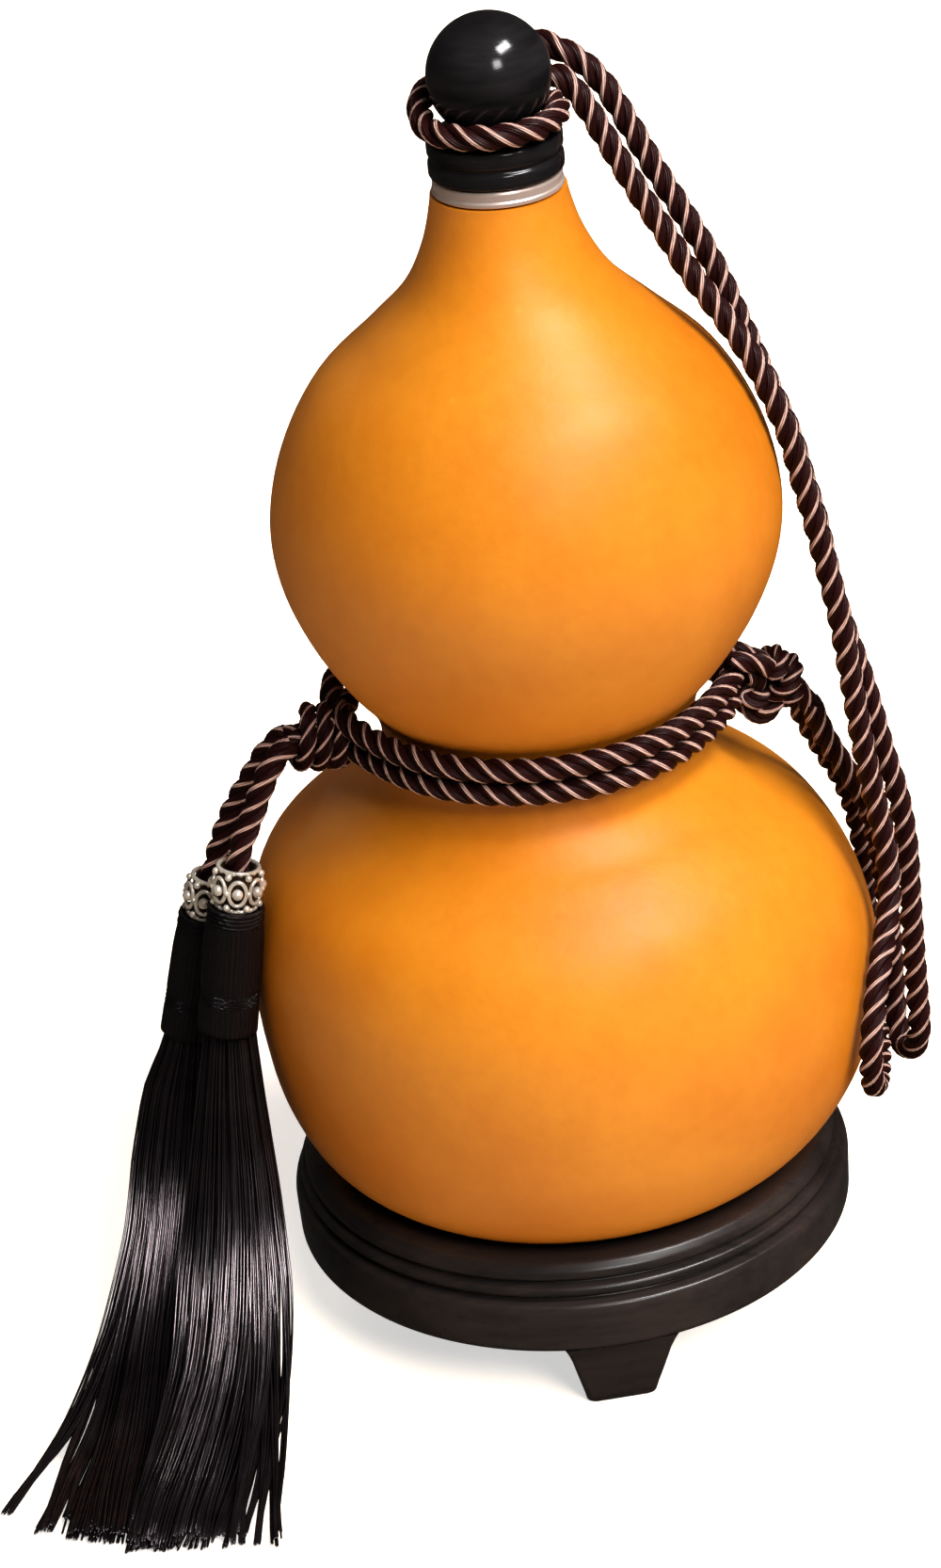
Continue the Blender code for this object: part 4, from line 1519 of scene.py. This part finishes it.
class GOURD_OT_tied_cords(bpy.types.Operator):
    """Tie the cord round the waist and the stopper's neck, with its three knots"""

    bl_idname = "gourd.tied_cords"
    bl_label = "Tied cords"

    def execute(self, context):
        settings = context.scene.gourd_cord
        silk = finish("twisted_silk", cord_material, settings)
        for name, (radius, height) in WAIST_TURNS.items():
            shape = Shape()
            line = waist_line(radius, height)
            add_rope(shape, line, settings.diameter, settings.lay, looped=True)
            shape.piece(f"{name}_silk", silk, "cord_silk", name)
        first, last = NECK_LOOP_ENDS
        make_cord("neck_loop", [first, *NECK_LOOP, last], settings)
        for name, knot in KNOTS.items():
            make_knot(name, knot, settings)
        return {"FINISHED"}


class GOURD_OT_beads(bpy.types.Operator):
    """Make the two filigree beads, each with its sleeve inside"""

    bl_idname = "gourd.beads"
    bl_label = "Beads"

    def execute(self, context):
        settings = context.scene.gourd_tassel
        wires = metal_material("filigree_plate", settings.bead_color, 0.2, 240.0, 0.6, 0.72)
        core = metal_material("filigree_core", settings.core_color, 0.35, 240.0, 0.5)
        for side, parts in TASSELS.items():
            hang, bead, _ = hung_places(parts)
            name = f"bead_{side}"
            filigree_bead(bead, hang).piece(f"{name}_filigree", wires, "bead_metal", name)
            bead_core(bead, hang).piece(f"{name}_core", core, "bead_metal", name)
        return {"FINISHED"}


class GOURD_OT_tassels(bpy.types.Operator):
    """Wind the tassels' heads and hang their silk"""

    bl_idname = "gourd.tassels"
    bl_label = "Tassels"

    def execute(self, context):
        settings = context.scene.gourd_tassel
        silk = finish("black_silk", tassel_material, settings)
        wound = finish("black_silk_wound", head_material, settings)
        for seed, (side, parts) in enumerate(TASSELS.items(), THREADS_SEED):
            hang, _, head = hung_places(parts)
            name = f"tassel_head_{side}"
            wound_head(head, hang).piece(f"{name}_wound", wound, "tassel_silk", name)
            top = head + hang * (SLEEVE_HEIGHT / 2 - THREADS_INSIDE)
            stations = [(tuple(top), THREADS_START, THREADS_START), *parts["threads"]]
            name = f"tassel_threads_{side}"
            bundle = thread_bundle(stations, settings, seed, parts["flare"])
            bundle.piece(f"{name}_silk", silk, "tassel_silk", name)
            self.declare(side, parts, context.scene.gourd_cord)
        return {"FINISHED"}

    def declare(self, side, parts, settings):
        """Does nothing."""


class GOURD_OT_stage(bpy.types.Operator):
    """Lay the pale floor and set the soft lights"""

    bl_idname = "gourd.stage"
    bl_label = "Stage"

    def execute(self, context):
        settings = context.scene.gourd_stage
        self.floor(settings)
        self.sun("broad_light", BROAD_LIGHT_M, settings.broad_power, settings.breadth)
        self.sun("back_light", BACK_LIGHT_M, settings.back_power, settings.breadth)
        power = settings.high_power
        high = self.softbox("softbox_high", SOFTBOX_HIGH_M, power, SOFTBOX_HIGH_SIZE)
        power = settings.front_power
        self.softbox("softbox_front", SOFTBOX_FRONT_M, power, SOFTBOX_FRONT_SIZE)
        power = settings.strip_power
        strip = self.softbox("softbox_strip", SOFTBOX_STRIP_M, power, SOFTBOX_STRIP_SIZE)
        threads = [f"tassel_threads_{side}_silk" for side in TASSELS]
        self.flag(high, threads, "EXCLUDE")
        self.flag(strip, threads, "INCLUDE")
        self.surround(context.scene, settings.surround)
        context.scene.view_settings.view_transform = "Standard"
        context.scene.view_settings.look = "Medium High Contrast"
        return {"FINISHED"}

    def surround(self, scene, brightness):
        """A faint warm light from all round."""
        world = bpy.data.worlds.new("surround")
        world.use_nodes = True
        background = world.node_tree.nodes["Background"]
        background.inputs["Color"].default_value = (1.0, 0.95, 0.9, 1.0)
        background.inputs["Strength"].default_value = brightness
        scene.world = world

    def floor(self, settings):
        """A plain floor that polished surfaces don't mirror."""
        mesh = bpy.data.meshes.new("floor")
        sides = ((-1, -1), (1, -1), (1, 1), (-1, 1))
        corners = [(x * FLOOR_REACH_M, y * FLOOR_REACH_M, 0.0) for x, y in sides]
        mesh.from_pydata(corners, [], [(0, 1, 2, 3)])
        mesh.materials.append(finish("pale_floor", floor_material, settings))
        floor = bpy.data.objects.new("floor", mesh)
        floor.visible_glossy = False
        bpy.context.scene.collection.objects.link(floor)

    def sun(self, name, place_m, power, breadth):
        """A broad, even light that polished surfaces don't mirror."""
        data = bpy.data.lights.new(name, "SUN")
        data.energy = power
        data.angle = breadth
        data.color = (1.0, 0.98, 0.95)
        self.aimed(data, place_m).visible_glossy = False

    def softbox(self, name, place_m, power, size):
        """A light from an oblong cloth, which polished surfaces mirror."""
        data = bpy.data.lights.new(name, "AREA")
        data.shape = "RECTANGLE"
        data.size, data.size_y = size
        data.energy = power
        return self.aimed(data, place_m)

    def flag(self, light, names, state):
        """Keep a light off the named pieces, or on them alone, as flags before the lamp would."""
        chosen = bpy.data.collections.new(f"{light.name}_flags")
        for name in names:
            chosen.objects.link(bpy.data.objects[name])
        for entry in chosen.collection_objects:
            entry.light_linking.link_state = state
        light.light_linking.receiver_collection = chosen

    def aimed(self, data, place_m):
        """A light that looks from a place at the middle of the gourd."""
        light = bpy.data.objects.new(data.name, data)
        light.location = place_m
        aim = Vector(LIT_MIDDLE_M) - Vector(place_m)
        light.rotation_mode = "QUATERNION"
        light.rotation_quaternion = aim.to_track_quat("-Z", "Y")
        bpy.context.scene.collection.objects.link(light)
        return light


class GOURD_PT_panel(bpy.types.Panel):
    """The gourd's settings and the steps that make it"""

    bl_label = "Bottle Gourd Flask"
    bl_idname = "GOURD_PT_panel"
    bl_space_type = "VIEW_3D"
    bl_region_type = "UI"
    bl_category = "Gourd"

    def draw(self, context):
        for label, cls in SETTINGS.items():
            box = self.layout.box()
            settings = getattr(context.scene, label)
            for key in cls.__annotations__:
                box.prop(settings, key)
        for operator in OPERATORS:
            self.layout.operator(operator.bl_idname)


SETTINGS = {
    "gourd_rind": GourdSettings,
    "gourd_cord": CordSettings,
    "gourd_stopper": StopperSettings,
    "gourd_stand": StandSettings,
    "gourd_tassel": TasselSettings,
    "gourd_stage": StageSettings,
}
OPERATORS = (
    GOURD_OT_camera,
    GOURD_OT_hanging_cords,
    GOURD_OT_rind,
    GOURD_OT_mouth_ring,
    GOURD_OT_stopper,
    GOURD_OT_stand,
    GOURD_OT_tied_cords,
    GOURD_OT_beads,
    GOURD_OT_tassels,
    GOURD_OT_stage,
)


def register():
    for cls in (*SETTINGS.values(), *OPERATORS, GOURD_PT_panel):
        bpy.utils.register_class(cls)
    for label, cls in SETTINGS.items():
        setattr(bpy.types.Scene, label, PointerProperty(type=cls))


def unregister():
    for label in SETTINGS:
        delattr(bpy.types.Scene, label)
    for cls in reversed((*SETTINGS.values(), *OPERATORS, GOURD_PT_panel)):
        bpy.utils.unregister_class(cls)


def main():
    register()
    bpy.ops.gourd.camera()
    bpy.ops.gourd.hanging_cords()
    bpy.ops.gourd.rind()
    bpy.ops.gourd.mouth_ring()
    bpy.ops.gourd.stopper()
    bpy.ops.gourd.stand()
    bpy.ops.gourd.tied_cords()
    bpy.ops.gourd.beads()
    bpy.ops.gourd.tassels()
    bpy.ops.gourd.stage()


if __name__ == "__main__":
    main()
